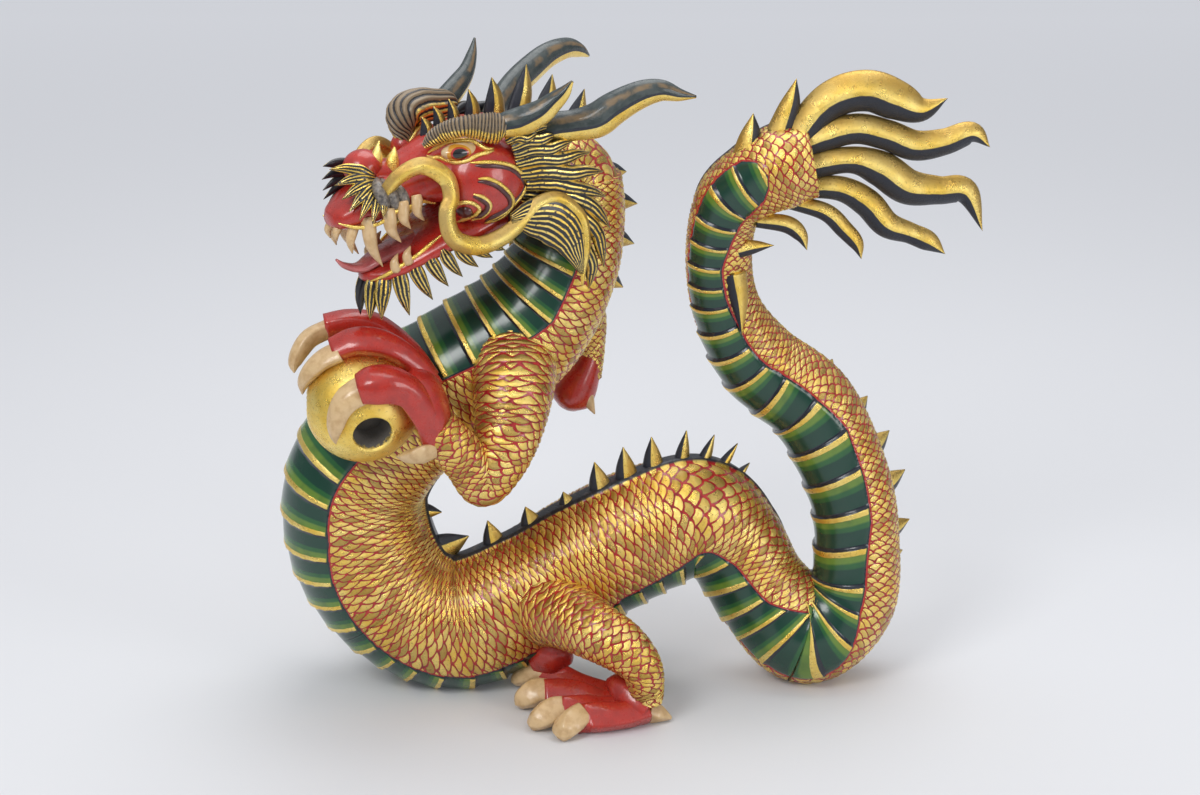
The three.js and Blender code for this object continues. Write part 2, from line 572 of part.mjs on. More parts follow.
// The flame at the tail's end: fronds that curl like an S, and small fins and spikes along the hook
function flame() {
  const fronds = [ // x, z and half width from the root to the tip
    [[104, 316, 9], [118, 337, 10], [131, 346, 11], [146, 348, 11.5], [160, 343, 11], [174, 338, 7],
      [188, 344, 0]],
    [[108, 318, 8], [136, 327, 8.5], [155, 324, 8.5], [171, 318, 8.5], [187, 320, 7.5], [202, 325, 6],
      [212, 317, 0]],
    [[110, 306, 8], [136, 310, 7.5], [153, 305, 10], [168, 295, 10], [185, 293, 8], [200, 292, 7],
      [210, 270, 0]],
    [[108, 295, 6], [131, 294, 7], [146, 286, 8], [157, 274, 7.5], [170, 269, 6], [181, 264, 5.5],
      [190, 257, 0]],
    [[102, 287, 4], [123, 281, 5], [134, 271, 5], [141, 263, 4], [144, 254, 0]],
    [[86, 276, 4], [102, 274, 5], [110, 268, 4], [114, 259, 0]],
    [[72, 258, 4.5], [84, 261, 4], [96, 262, 0]],
    [[74, 246, 7], [77, 230, 5], [79, 210, 0]],
    [[98, 325, 8], [103, 341, 5.5], [106, 355, 0]],
    [[80, 313, 8], [82, 325, 5.5], [83, 336, 0]],
  ];
  return fronds.map((rows) => {
    const path = rows.map(([x, z, wide]) => [x, 0, z, wide, wide * 0.75, 0, 1, 0]);
    return sweep(path, { sides: 5, steps: 1 });
  });
}

function dragon() {
  const solids = join([
    bodySweep(0, VALLEY),
    bodySweep(VALLEY - 1, BODY.length - 1),
    ...ridgeSpikes(),
    limb(NAPE, [1, 0, 0], { sides: BODY_SIDES, steps: 1 }),
    skull(), jaw(), tongue(), ...teeth(), ...faceSide(1), ...faceSide(-1), ...nose(), ...horns(), ...crest(),
    ...hair(), nearArm(), ...claw(), egg(BALL.at, [BALL.radius, BALL.radius, BALL.radius], [0, 0, 0],
      [16, 10]),
    ...farArm(), ...nearLeg(), ...farLeg(), ...flame(),
  ]);
  const belowFloor = new THREE.BoxGeometry(...FLOOR_BLOCK);
  belowFloor.translate(0, 0, -FLOOR_BLOCK[2] / 2);
  return largestShell(solids.subtract(join([belowFloor, ...bores()])));
}

const wood = new THREE.MeshStandardMaterial({ color: 0xb98a2c, roughness: 0.4, metalness: 0.3 });
const carving = new THREE.Mesh(geometryOf(dragon()), wood);
carving.name = "dragon";
carving.position.set(-FOOTPRINT_CENTRE[0], -FOOTPRINT_CENTRE[1], 0);

const group = new THREE.Group();
group.add(carving);
export default group;
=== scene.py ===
# %% [markdown]
# # A carved and gilded dragon
# The real object is taken to be light wood, carved, primed, then painted and covered with thin metal leaf.
# This lesson dresses its plain frame: every form is a surface worked out from numbers, and every finish is
# a set of shader nodes. The frame is loaded first, because all pieces have to sit where it says.

# %% Load the frame
import json
import bpy
import numpy as np
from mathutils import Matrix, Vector

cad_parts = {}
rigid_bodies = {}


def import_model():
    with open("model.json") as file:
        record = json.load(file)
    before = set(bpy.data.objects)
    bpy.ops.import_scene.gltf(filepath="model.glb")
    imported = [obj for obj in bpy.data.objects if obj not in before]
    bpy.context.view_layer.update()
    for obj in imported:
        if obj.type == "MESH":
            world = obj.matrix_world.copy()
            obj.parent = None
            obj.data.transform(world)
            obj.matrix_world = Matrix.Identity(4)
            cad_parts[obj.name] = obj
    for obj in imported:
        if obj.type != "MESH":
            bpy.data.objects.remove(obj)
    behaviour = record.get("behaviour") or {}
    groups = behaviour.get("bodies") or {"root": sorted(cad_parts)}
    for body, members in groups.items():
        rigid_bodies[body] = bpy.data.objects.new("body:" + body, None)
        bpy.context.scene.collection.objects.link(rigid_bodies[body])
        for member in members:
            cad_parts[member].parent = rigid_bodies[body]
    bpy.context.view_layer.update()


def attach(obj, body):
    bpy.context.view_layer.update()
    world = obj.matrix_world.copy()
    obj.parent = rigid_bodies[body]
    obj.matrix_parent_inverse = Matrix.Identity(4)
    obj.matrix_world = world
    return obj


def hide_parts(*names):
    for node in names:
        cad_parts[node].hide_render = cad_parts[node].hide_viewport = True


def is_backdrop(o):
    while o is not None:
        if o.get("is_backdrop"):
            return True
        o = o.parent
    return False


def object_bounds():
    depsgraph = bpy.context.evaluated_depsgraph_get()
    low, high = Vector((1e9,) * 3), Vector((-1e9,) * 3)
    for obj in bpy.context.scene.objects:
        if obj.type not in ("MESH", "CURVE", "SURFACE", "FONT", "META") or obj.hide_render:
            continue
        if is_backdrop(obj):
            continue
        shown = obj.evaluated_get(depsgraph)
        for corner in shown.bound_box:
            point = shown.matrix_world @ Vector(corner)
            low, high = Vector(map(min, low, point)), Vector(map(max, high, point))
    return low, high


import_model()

# %% [markdown]
# ## Numbers that place everything
# Lengths are in millimetres and are turned into metres only when a mesh is made. The same stations as in
# the frame's source carry the body: a centre, a radius, and the way that the ridge of the back faces.

# %% The body's stations
FOOTPRINT_CENTRE = np.array([15.6, 0.81, 0.0])
BODY = np.array([
    [-15, 14, 298, 27, 1.0, 0.8, 0.3],
    [-14, 14, 276, 28, 1.0, 0.7, 0.0],
    [-21, 12, 246, 31, 1.0, 0.6, -0.3],
    [-42, 10, 214, 36, 0.8, 0.6, -0.6],
    [-77, 8, 186, 39, 0.6, 0.5, -0.9],
    [-116, 8, 157, 40, 0.7, 0.3, -0.7],
    [-139, 8, 121, 40, 1.0, 0.1, 0.0],
    [-136, 8, 81, 41, 1.0, 0.0, 0.6],
    [-114, 8, 48, 39, 0.6, 0.0, 1.0],
    [-80, 8, 36, 39, 0.1, 0.0, 1.0],
    [-40, 10, 54, 37, -0.2, -0.1, 1.0],
    [-5, 12, 74, 38, -0.35, -0.2, 1.0],
    [29, 14, 91, 37, -0.2, -0.2, 1.0],
    [56, 16, 97, 34, 0.3, 0.1, 1.0],
    [77, 18, 79, 30, 0.9, 0.6, 0.6],
    [94, 14, 52, 28.5, 0.5, 0.9, 0.4],
    [119, 10, 29.5, 31.5, 0.0, 1.0, 0.0],
    [144, 12, 47, 27, 0.5, 0.8, -0.3],
    [148, 16, 82, 24.5, 0.8, 0.6, -0.1],
    [142, 20, 118, 24.5, 0.8, 0.6, 0.1],
    [121, 24, 161, 25.5, 0.6, 0.8, 0.3],
    [91, 24, 187, 24, 0.3, 0.9, 0.3],
    [72, 20, 218, 19.5, -0.2, 1.0, 0.0],
    [66, 14, 251, 18.5, -0.5, 0.9, 0.0],
    [70, 8, 282, 19.0, -0.7, 0.7, 0.4],
    [84, 4, 297, 21, -0.4, 0.7, 0.8],
    [101, 2, 306, 23, -0.1, 0.6, 1.0],
    [116, 2, 309, 20, 0.0, 0.5, 1.0],
])
print("stations along the body:", len(BODY))

# %% [markdown]
# ## Camera, light and floor
# A soft studio: one light above and to the left, a weaker one to the right, a broad one overhead, a world
# that is brighter towards the top, and a pale floor that glows a little towards the back. A long lens
# stands back from the object, so lines hardly converge, as in a catalogue photo.

# %% Camera
CAMERA_DISTANCE = 1500.0
CAMERA_TILT = np.radians(18.0)
TARGET_HEIGHT = 174.0
LENS = 80.37

def millimetres(x, y, z):
    """A point in the numbers of this script as a place in the scene: shifted to the footprint's middle,
    in metres."""
    return Vector((np.array([x, y, z]) - FOOTPRINT_CENTRE) / 1000)

camera_data = bpy.data.cameras.new("camera")
camera_data.lens = LENS
camera_data.sensor_width = 36.0
camera_data.clip_start = 0.05
camera_data.clip_end = 20.0
camera = bpy.data.objects.new("camera", camera_data)
bpy.context.scene.collection.objects.link(camera)
back = CAMERA_DISTANCE * np.cos(CAMERA_TILT)
rise = CAMERA_DISTANCE * np.sin(CAMERA_TILT)
target = millimetres(0, 0, TARGET_HEIGHT)
camera.location = millimetres(0, -back, TARGET_HEIGHT + rise)
camera.rotation_euler = (target - camera.location).to_track_quat("-Z", "Y").to_euler()
bpy.context.scene.camera = camera
print("camera at", [round(v, 3) for v in camera.location])

# %% Lights and world
def area_light(name, place, aim, size, power, colour=(1.0, 1.0, 1.0)):
    """A square area light at `place`, turned to face `aim`, both in millimetres."""
    data = bpy.data.lights.new(name, "AREA")
    data.shape = "SQUARE"
    data.size = size
    data.energy = power
    data.color = colour
    light = bpy.data.objects.new(name, data)
    bpy.context.scene.collection.objects.link(light)
    light.location = millimetres(*place)
    light.rotation_euler = (millimetres(*aim) - light.location).to_track_quat("-Z", "Y").to_euler()

area_light("key_light", (-600, -1000, 1100), (0, 0, 140), 0.55, 9.0)
area_light("fill_light", (1000, -800, 500), (0, 0, 150), 0.5, 4.0)
area_light("top_light", (100, 300, 1300), (0, 0, 150), 0.9, 7.0)

world = bpy.data.worlds.new("studio")
world.use_nodes = True
links = world.node_tree.links
sky_way = world.node_tree.nodes.new("ShaderNodeTexCoord")
split = world.node_tree.nodes.new("ShaderNodeSeparateXYZ")
sky = world.node_tree.nodes.new("ShaderNodeMapRange")
links.new(sky_way.outputs["Generated"], split.inputs[0])
links.new(split.outputs["Z"], sky.inputs["Value"])
for key, number in (("From Min", -0.1), ("From Max", 0.9), ("To Min", 0.14), ("To Max", 0.80)):
    sky.inputs[key].default_value = number
links.new(sky.outputs["Result"], world.node_tree.nodes["Background"].inputs["Strength"])
world.node_tree.nodes["Background"].inputs["Color"].default_value = (0.88, 0.90, 0.95, 1.0)
bpy.context.scene.world = world
bpy.context.scene.view_settings.view_transform = "Standard"

# %% Floor
def flat_material(name, colour, roughness):
    """A plain painted surface."""
    material = bpy.data.materials.new(name)
    material.use_nodes = True
    surface = material.node_tree.nodes["Principled BSDF"]
    surface.inputs["Base Color"].default_value = (*colour, 1.0)
    surface.inputs["Roughness"].default_value = roughness
    return material

floor_mesh = bpy.data.meshes.new("floor")
FLOOR_HALF = 6.0
floor_mesh.from_pydata(
    [(-FLOOR_HALF, -FLOOR_HALF, 0), (FLOOR_HALF, -FLOOR_HALF, 0), (FLOOR_HALF, FLOOR_HALF, 0),
     (-FLOOR_HALF, FLOOR_HALF, 0)],
    [], [(0, 1, 2, 3)])
floor = bpy.data.objects.new("floor", floor_mesh)
bpy.context.scene.collection.objects.link(floor)
floor_paint = flat_material("pale_floor", (0.66, 0.665, 0.68), 0.7)
FLOOR_GLOW = {"front_y": -0.5, "back_y": 2.2, "front": 0.0, "back": 0.24}
tree = floor_paint.node_tree
place = tree.nodes.new("ShaderNodeTexCoord")
split = tree.nodes.new("ShaderNodeSeparateXYZ")
glow = tree.nodes.new("ShaderNodeMapRange")
tree.links.new(place.outputs["Object"], split.inputs[0])
tree.links.new(split.outputs["Y"], glow.inputs["Value"])
for key, number in zip(("From Min", "From Max", "To Min", "To Max"), FLOOR_GLOW.values()):
    glow.inputs[key].default_value = number
tree.links.new(glow.outputs["Result"], tree.nodes["Principled BSDF"].inputs["Emission Strength"])
tree.nodes["Principled BSDF"].inputs["Emission Color"].default_value = (0.92, 0.94, 1.0, 1.0)
floor_mesh.materials.append(floor_paint)
floor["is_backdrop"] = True

# %% [markdown]
# ## From numbers to meshes
# Every form below is a grid of points: one direction runs along a path, the other around it. Whole arrays
# are worked out at once and handed to the mesh in one go, which is much quicker than adding points by
# turns.

# %% Curves through a few rows
def smooth_rows(rows, count):
    """`count` rows evenly spaced in length along a Catmull-Rom curve through `rows`; the first three
    values are x, y, z.

    Between rows b and c, with a before and d after, at the share t of the way:
    half of (2b + (c - a)t + (2a - 5b + 4c - d)t^2 + (3b - a - 3c + d)t^3)."""
    rows = np.asarray(rows, float)
    padded = np.vstack([2 * rows[0] - rows[1], rows, 2 * rows[-1] - rows[-2]])
    fine = np.linspace(0, len(rows) - 1, 24 * (len(rows) - 1) + 1)
    cell = np.minimum(fine.astype(int), len(rows) - 2)
    t = (fine - cell)[:, None]
    a, b, c, d = (padded[cell + k] for k in range(4))
    curve = 0.5 * (2 * b + (c - a) * t + (2 * a - 5 * b + 4 * c - d) * t**2 + (3 * b - a - 3 * c + d) * t**3)
    length = np.r_[0, np.cumsum(np.linalg.norm(np.diff(curve[:, :3], axis=0), axis=1))]
    wanted = np.linspace(0, length[-1], count)
    return np.stack([np.interp(wanted, length, column) for column in curve.T], axis=1)

def unit(vectors):
    """Each vector divided by its length."""
    return vectors / np.maximum(np.linalg.norm(vectors, axis=-1, keepdims=True), 1e-9)

def frames(path, hints):
    """At each point of a path: the way along it, the way up nearest to the hint, and the way to the side."""
    along = unit(np.gradient(path, axis=0))
    up = unit(hints - (hints * along).sum(1, keepdims=True) * along)
    return along, up, np.cross(along, up)

# %% Grids into pieces
def tube_faces(rings, sides):
    """Four-cornered faces that join each ring of `sides` points to the next, and three-cornered ones at
    two poles."""
    i = np.arange(rings - 1)[:, None] * sides
    j = np.arange(sides)[None, :]
    k = (j + 1) % sides
    quads = np.stack([i + j, i + k, i + sides + k, i + sides + j], axis=-1).reshape(-1, 4)
    first = rings * sides
    j, k = j[0], k[0]
    last_ring = (rings - 1) * sides
    start = np.stack([np.full(sides, first), k, j], axis=-1)
    end = np.stack([np.full(sides, first + 1), last_ring + j, last_ring + k], axis=-1)
    return quads, np.vstack([start, end])

def shape_of(points, quads, triangles, values):
    """The arrays of one form, kept together: points in millimetres, faces, and named numbers for each
    point."""
    return {"points": points, "quads": quads, "triangles": triangles, "values": values}

def merged(shapes):
    """Several forms as one: points are stacked and each form's face numbers are moved up by the points
    before it."""
    starts = np.r_[0, np.cumsum([len(s["points"]) for s in shapes])[:-1]]
    names = shapes[0]["values"].keys()
    return shape_of(
        np.vstack([s["points"] for s in shapes]),
        np.vstack([s["quads"] + start for s, start in zip(shapes, starts)]),
        np.vstack([s["triangles"] + start for s, start in zip(shapes, starts)]),
        {key: np.concatenate([np.ravel(s["values"][key]) for s in shapes]) for key in names})

totals = {}

def new_piece(name, shape, material):
    """A mesh object from a form: corners and face sizes go in as whole arrays, and it rides on the
    dragon's body."""
    quads, triangles = shape["quads"], shape["triangles"]
    mesh = bpy.data.meshes.new(name)
    corners = np.concatenate([quads.ravel(), triangles.ravel()]).astype(np.int32)
    sizes = np.r_[np.full(len(quads), 4), np.full(len(triangles), 3)].astype(np.int32)
    mesh.vertices.add(len(shape["points"]))
    mesh.loops.add(len(corners))
    mesh.polygons.add(len(sizes))
    mesh.vertices.foreach_set("co", ((shape["points"] - FOOTPRINT_CENTRE) / 1000).astype(np.float32).ravel())
    mesh.loops.foreach_set("vertex_index", corners)
    mesh.polygons.foreach_set("loop_start", np.r_[0, np.cumsum(sizes)[:-1]].astype(np.int32))
    mesh.polygons.foreach_set("loop_total", sizes)
    mesh.polygons.foreach_set("use_smooth", np.full(len(sizes), True))
    mesh.update(calc_edges=True)
    mesh.validate()
    for key, numbers in shape["values"].items():
        attribute = mesh.attributes.new(key, "FLOAT", "POINT")
        attribute.data.foreach_set("value", np.asarray(numbers, np.float32).ravel())
    mesh.materials.append(material)
    piece = bpy.data.objects.new(name, mesh)
    bpy.context.scene.collection.objects.link(piece)
    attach(piece, "root")
    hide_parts("dragon")
    totals[name] = 2 * len(quads) + len(triangles)
    return piece

# %% [markdown]
# ## Shader tools
# Small helpers keep the materials readable. `Nodes` wraps one node tree: each call adds a node, sets its
# plain values and links what it is given. Effects that several materials share are node groups.

# %% Node helper
class Nodes:
    """Adds nodes to a tree; sockets are given by name, and a value may be a number, a colour or another
    socket."""

    def __init__(self, tree):
        self.tree = tree

    def add(self, kind, **values):
        node = self.tree.nodes.new(kind)
        for key, value in values.items():
            if hasattr(node, key) and not isinstance(value, bpy.types.NodeSocket):
                setattr(node, key, value)
        return node

    def link(self, value, socket):
        if isinstance(value, bpy.types.NodeSocket):
            self.tree.links.new(value, socket)
        elif value is not None:
            if hasattr(socket.default_value, "__len__") and not hasattr(value, "__len__"):
                value = [value] * len(socket.default_value)
            if hasattr(value, "__len__") and len(value) == 3 and len(socket.default_value) == 4:
                value = (*value, 1.0)
            socket.default_value = value

    def math(self, operation, a, b=None, c=None):
        node = self.add("ShaderNodeMath", operation=operation)
        for value, socket in zip((a, b, c), node.inputs):
            self.link(value, socket)
        return node.outputs[0]

    def ramp(self, value, low, high, start=0.0, end=1.0):
        """A soft step: `start` up to `low`, `end` from `high` on, smooth between."""
        node = self.add("ShaderNodeMapRange", interpolation_type="SMOOTHSTEP")
        for key, number in (("Value", value), ("From Min", low), ("From Max", high), ("To Min", start),
                            ("To Max", end)):
            self.link(number, node.inputs[key])
        return node.outputs["Result"]

    def mix(self, share, first, second):
        """A colour between two colours."""
        node = self.add("ShaderNodeMix", data_type="RGBA")
        self.link(share, node.inputs["Factor"])
        self.link(first, node.inputs[6])
        self.link(second, node.inputs[7])
        return node.outputs[2]

    def blend(self, share, first, second):
        """A number between two numbers."""
        node = self.add("ShaderNodeMix", data_type="FLOAT")
        self.link(share, node.inputs[0])
        self.link(first, node.inputs[2])
        self.link(second, node.inputs[3])
        return node.outputs[0]

    def number(self, name):
        """A named number that the mesh carries on its points."""
        return self.add("ShaderNodeAttribute", attribute_name=name).outputs["Fac"]

    def noise(self, scale, detail=3.0, roughness=0.5):
        node = self.add("ShaderNodeTexNoise")
        self.link(self.place(), node.inputs["Vector"])
        self.link(scale, node.inputs["Scale"])
        self.link(detail, node.inputs["Detail"])
        self.link(roughness, node.inputs["Roughness"])
        return node.outputs["Fac"]

    def place(self):
        return self.add("ShaderNodeTexCoord").outputs["Object"]

    def group(self, group, **values):
        node = self.add("ShaderNodeGroup")
        node.node_tree = group
        for key, value in values.items():
            self.link(value, node.inputs[key])
        return node.outputs

    def bump(self, height, distance, strength):
        node = self.add("ShaderNodeBump")
        self.link(height, node.inputs["Height"])
        self.link(distance, node.inputs["Distance"])
        self.link(strength, node.inputs["Strength"])
        return node.outputs["Normal"]

def new_group(name, inputs, outputs):
    """An empty shader group with the named number inputs (and their defaults) and outputs of the given
    kinds."""
    tree = bpy.data.node_groups.new(name, "ShaderNodeTree")
    for key, default in inputs.items():
        kind = "NodeSocketColor" if hasattr(default, "__len__") else "NodeSocketFloat"
        socket = tree.interface.new_socket(key, in_out="INPUT", socket_type=kind)
        socket.default_value = (*default, 1.0) if kind == "NodeSocketColor" else default
    for key, kind in outputs.items():
        tree.interface.new_socket(key, in_out="OUTPUT", socket_type=kind)
    nodes = Nodes(tree)
    return tree, nodes, nodes.add("NodeGroupInput").outputs, nodes.add("NodeGroupOutput").inputs

def new_material(name):
    """A material with its node helper and its Principled shader."""
    material = bpy.data.materials.new(name)
    material.use_nodes = True
    return material, Nodes(material.node_tree), material.node_tree.nodes["Principled BSDF"].inputs

# %% [markdown]
# ## Metal leaf
# Leaf is thinner than paper. It wrinkles as it is pressed on, breaks at edges, and lets some of the red
# ground show through. One group gives its colour, its roughness and a height for its wrinkles.

# %% Metal leaf group
GOLD = (0.86, 0.57, 0.095)
PALE_GOLD = (0.98, 0.76, 0.24)
DEEP_GOLD = (0.25, 0.13, 0.028)
RED = (0.46, 0.024, 0.024)
DARK_RED = (0.24, 0.010, 0.015)

leaf_tree, n, leaf_in, leaf_out = new_group(
    "metal_leaf", {"Wrinkle Scale": 700.0},
    {"Color": "NodeSocketColor", "Roughness": "NodeSocketFloat", "Height": "NodeSocketFloat"})
wrinkle = n.noise(leaf_in["Wrinkle Scale"], 5.0, 0.62)
crease = n.math("ABSOLUTE", n.math("SUBTRACT", wrinkle, 0.5))
patches = n.noise(60.0, 3.0, 0.6)
tone = n.mix(n.ramp(patches, 0.3, 0.72), GOLD, PALE_GOLD)
n.link(n.mix(n.ramp(wrinkle, 0.54, 0.72, 0.0, 0.55), tone, DEEP_GOLD), leaf_out["Color"])
n.link(n.ramp(n.noise(150.0, 4.0, 0.6), 0.3, 0.75, 0.22, 0.46), leaf_out["Roughness"])
n.link(n.math("ADD", n.math("MULTIPLY", crease, 2.4), n.math("MULTIPLY", patches, 0.8)), leaf_out["Height"])
print("shared groups:", [g.name for g in bpy.data.node_groups])

# %% [markdown]
# ## The skin of the body
# The flanks carry rows of lens-shaped scales, gilded on top with the red ground left in the grooves. The
# belly carries broad plates that overlap like tiles, painted from dark to light green with a gilded rear
# edge. The mesh holds, on each point, where it lies among scales and plates, so the paint follows the
# carving exactly.

# %% Where scales and plates lie
SCALE_LENGTH = 4.8
SCALE_ANGLE = 18.0
SCALE_CORNER = 0.30
SCALE_BULGE = 0.17
SCALE_DEPTH = 1.0
RIDGE_HALF = 5.2
# distance along the body, angle of the belly's border from the ridge on the near side and on the far side
BELLY_BORDERS = np.array([
    [0, 111, 111], [75, 110, 110], [90, 119, 119], [120, 128, 128], [140, 131, 131], [205, 113, 113],
    [250, 108, 108], [300, 117, 117], [340, 124, 123], [375, 128, 123], [410, 124, 115], [440, 111, 109],
    [480, 110, 110], [505, 115, 115],
    [530, 125, 125], [560, 139, 139], [600, 130, 135], [625, 122, 138], [650, 116, 124], [675, 112, 108],
    [700, 108, 105], [730, 104, 108], [750, 102, 124], [770, 99, 130], [780, 97, 134], [795, 92, 153],
    [808, 88, 169], [820, 85, 180], [838, 82, 196], [856, 81, 207], [870, 79, 203], [885, 76, 201],
    [900, 74, 199], [912, 78, 210], [918, 92, 228], [921, 122, 248], [943, 122, 248],
])
# distance along the body, number of belly plates passed
PLATE_COUNT = np.array([
    [0, -3.2], [47.7, 0], [88, 3], [138.6, 6], [218, 11], [257.5, 14], [308, 18], [349, 22], [392, 26],
    [434.5, 29],
    [477, 32], [543, 35], [568, 37], [609, 40], [636, 42], [680, 44], [725, 46], [771, 48], [803, 50],
    [832, 52],
    [856, 54], [881, 56], [907, 58], [920, 59.05], [943, 60],
])

def slow_waves(u, v, seed, count=5):
    """A gentle wander between about -1 and 1: a sum of a few sines of u and v with random ways and starts."""
    random = np.random.default_rng(seed)
    total = np.zeros(np.broadcast(u, v).shape)
    for _ in range(count):
        ku, kv, start = random.normal(size=2).tolist() + [random.uniform(0, 2 * np.pi)]
        total = total + np.sin(ku * u + kv * v + start)
    return total / count**0.5 / 1.2

def fraction(x):
    return x - np.floor(x)

def soft_step(x, low, high):
    """0 below `low`, 1 above `high`, a smooth 3t^2 - 2t^3 between."""
    t = np.clip((x - low) / (high - low), 0, 1)
    return t * t * (3 - 2 * t)

def scale_lattice(length, turn, angle_step, seed):
    """Two slanted counts of scales: a whole step of both is one scale further along, a step of one is
    half across.

    Each count is held back by bulge * |sin(pi * other)|, which bows the rear edges of the scales outward.

    `turn` is counted in degrees from the ridge on both sides alike, so that the rows meet below the ridge."""
    wander = (0.20 * slow_waves(length / 22, turn / 25, seed)
              + 0.20 * slow_waves(length / 4, turn / 7, seed + 1))
    across = turn / angle_step + 0.18 * slow_waves(length / 18, turn / 22, seed + 2)
    a = length / SCALE_LENGTH + across + wander
    b = length / SCALE_LENGTH - across + wander
    return a - SCALE_BULGE * np.abs(np.sin(np.pi * b)), b - SCALE_BULGE * np.abs(np.sin(np.pi * a))

def rounded_min(x, y):
    """The smaller of two numbers, less m^2 / 4w where they differ by w - m, w being the corner's width."""
    m = np.maximum(SCALE_CORNER - np.abs(x - y), 0)
    return np.minimum(x, y) - m * m / (4 * SCALE_CORNER)

def scale_relief(a, b):
    """Height of a scale in its lattice cell, from 0 in the groove to 1: a rounded top that rises to the
    rear tip."""
    fa, fb = fraction(a), fraction(b)
    edge = np.minimum(rounded_min(fa, fb), rounded_min(1 - fa, 1 - fb))
    top = 1 - np.exp(-(edge / 0.15) ** 2)
    return top * (0.62 + 0.38 * (fa + fb - 1))

# %% The body's surface
SPINE = smooth_rows(BODY, 4000)
SPINE_LENGTH = np.r_[0, np.cumsum(np.linalg.norm(np.diff(SPINE[:, :3], axis=0), axis=1))]

def spine_at(s):
    """Rows of the spine curve at distances `s` along it."""
    return np.stack([np.interp(s, SPINE_LENGTH, column) for column in SPINE.T], axis=1)

def body_part(name, start, end, rings, sides, material):
    """A stretch of the body: a ring of points around the spine at each step, pushed out by scales,
    plates and ridge.

    Point = centre + (radius + relief) * (sin(angle) * side + cos(angle) * up), with the angle counted
    from the ridge, positive on the near flank of the chest."""
    s = np.linspace(start, end, rings)
    rows = spine_at(s)
    along, up, side = frames(rows[:, :3], rows[:, 4:7])
    angle = np.linspace(0, 2 * np.pi, sides, endpoint=False)
    turn = np.degrees(angle)[None, :]
    length = s[:, None]
    radius = rows[:, 3:4]
    near = np.interp(s, BELLY_BORDERS[:, 0], BELLY_BORDERS[:, 1])[:, None]
    far = 360 - np.interp(s, BELLY_BORDERS[:, 0], BELLY_BORDERS[:, 2])[:, None]
    belly = np.minimum(turn - near, far - turn) * np.radians(1) * radius
    from_ridge = np.minimum(turn, 360 - turn)
    ridge = from_ridge * np.radians(1) * radius
    a, b = scale_lattice(length, from_ridge, SCALE_ANGLE, 3)
    bow = 0.30 * np.cos(np.radians(turn - (near + far) / 2)) * radius / 30
    plate = (np.interp(s, PLATE_COUNT[:, 0], PLATE_COUNT[:, 1])[:, None]
             + 0.04 * slow_waves(length / 30, turn / 40, 6) + bow - 0.3)
    step = fraction(plate)
    plate_relief = 1.5 * step**1.6 * soft_step(step, 1.0, 0.95) + 0.25 * soft_step(step, 0.80, 0.84)
    on_belly = soft_step(belly, -0.3, 0.8)
    on_ridge = soft_step(ridge, RIDGE_HALF + 0.8, RIDGE_HALF - 0.8)
    relief = (1 - on_belly) * SCALE_DEPTH * scale_relief(a, b) + on_belly * (plate_relief + 0.2)
    relief = relief * (1 - on_ridge) + on_ridge * 2.6
    relief = relief - 0.5 * np.exp(-(belly / 0.9) ** 2)
    ring = radius + relief - 0.5
    points = (rows[:, None, :3] + ring[..., None] * (np.sin(angle)[None, :, None] * side[:, None, :]
                                                     + np.cos(angle)[None, :, None] * up[:, None, :]))
    points[..., 2] = np.maximum(points[..., 2], 0)
    poles = rows[[0, -1], :3]
    quads, triangles = tube_faces(rings, sides)
    both = lambda grid: np.r_[np.broadcast_to(grid, (rings, sides)).ravel(), 0, 0]
    values = {"scale_a": both(a), "scale_b": both(b), "plate": both(plate), "belly": both(belly),
              "ridge": both(ridge)}
    return new_piece(name, shape_of(np.vstack([points.reshape(-1, 3), poles]), quads, triangles, values),
                     material)

# %% Paint of the body
GREEN_DARK = (0.006, 0.045, 0.028)
GREEN_MIDDLE = (0.020, 0.110, 0.030)
GREEN_LIGHT = (0.130, 0.230, 0.030)
NAVY = (0.010, 0.014, 0.024)

skin, n, surface = new_material("scaled_skin")
a, b = n.number("scale_a"), n.number("scale_b")
fa, fb = n.math("FRACT", a), n.math("FRACT", b)
front = n.math("SMOOTH_MIN", fa, fb, SCALE_CORNER)
rear = n.math("SMOOTH_MIN", n.math("SUBTRACT", 1.0, fa), n.math("SUBTRACT", 1.0, fb), SCALE_CORNER)
edge = n.math("MINIMUM", front, rear)
ragged = n.math("MULTIPLY", n.math("SUBTRACT", n.noise(900.0, 3.0, 0.6), 0.5), 0.10)
edge = n.math("ADD", edge, ragged)
on_scale = n.ramp(edge, 0.070, 0.105)
leaf = n.group(leaf_tree)
cell = n.add("ShaderNodeCombineXYZ")
n.link(n.math("FLOOR", a), cell.inputs[0])
n.link(n.math("FLOOR", b), cell.inputs[1])
chance = n.add("ShaderNodeTexWhiteNoise")
n.link(cell.outputs[0], chance.inputs["Vector"])
leaf_colour = n.mix(n.ramp(chance.outputs["Value"], 0.35, 1.0, 0.0, 0.65), leaf["Color"], DEEP_GOLD)
ground = n.mix(n.ramp(n.noise(300.0), 0.35, 0.7), RED, DARK_RED)
scale_colour = n.mix(on_scale, ground, leaf_colour)

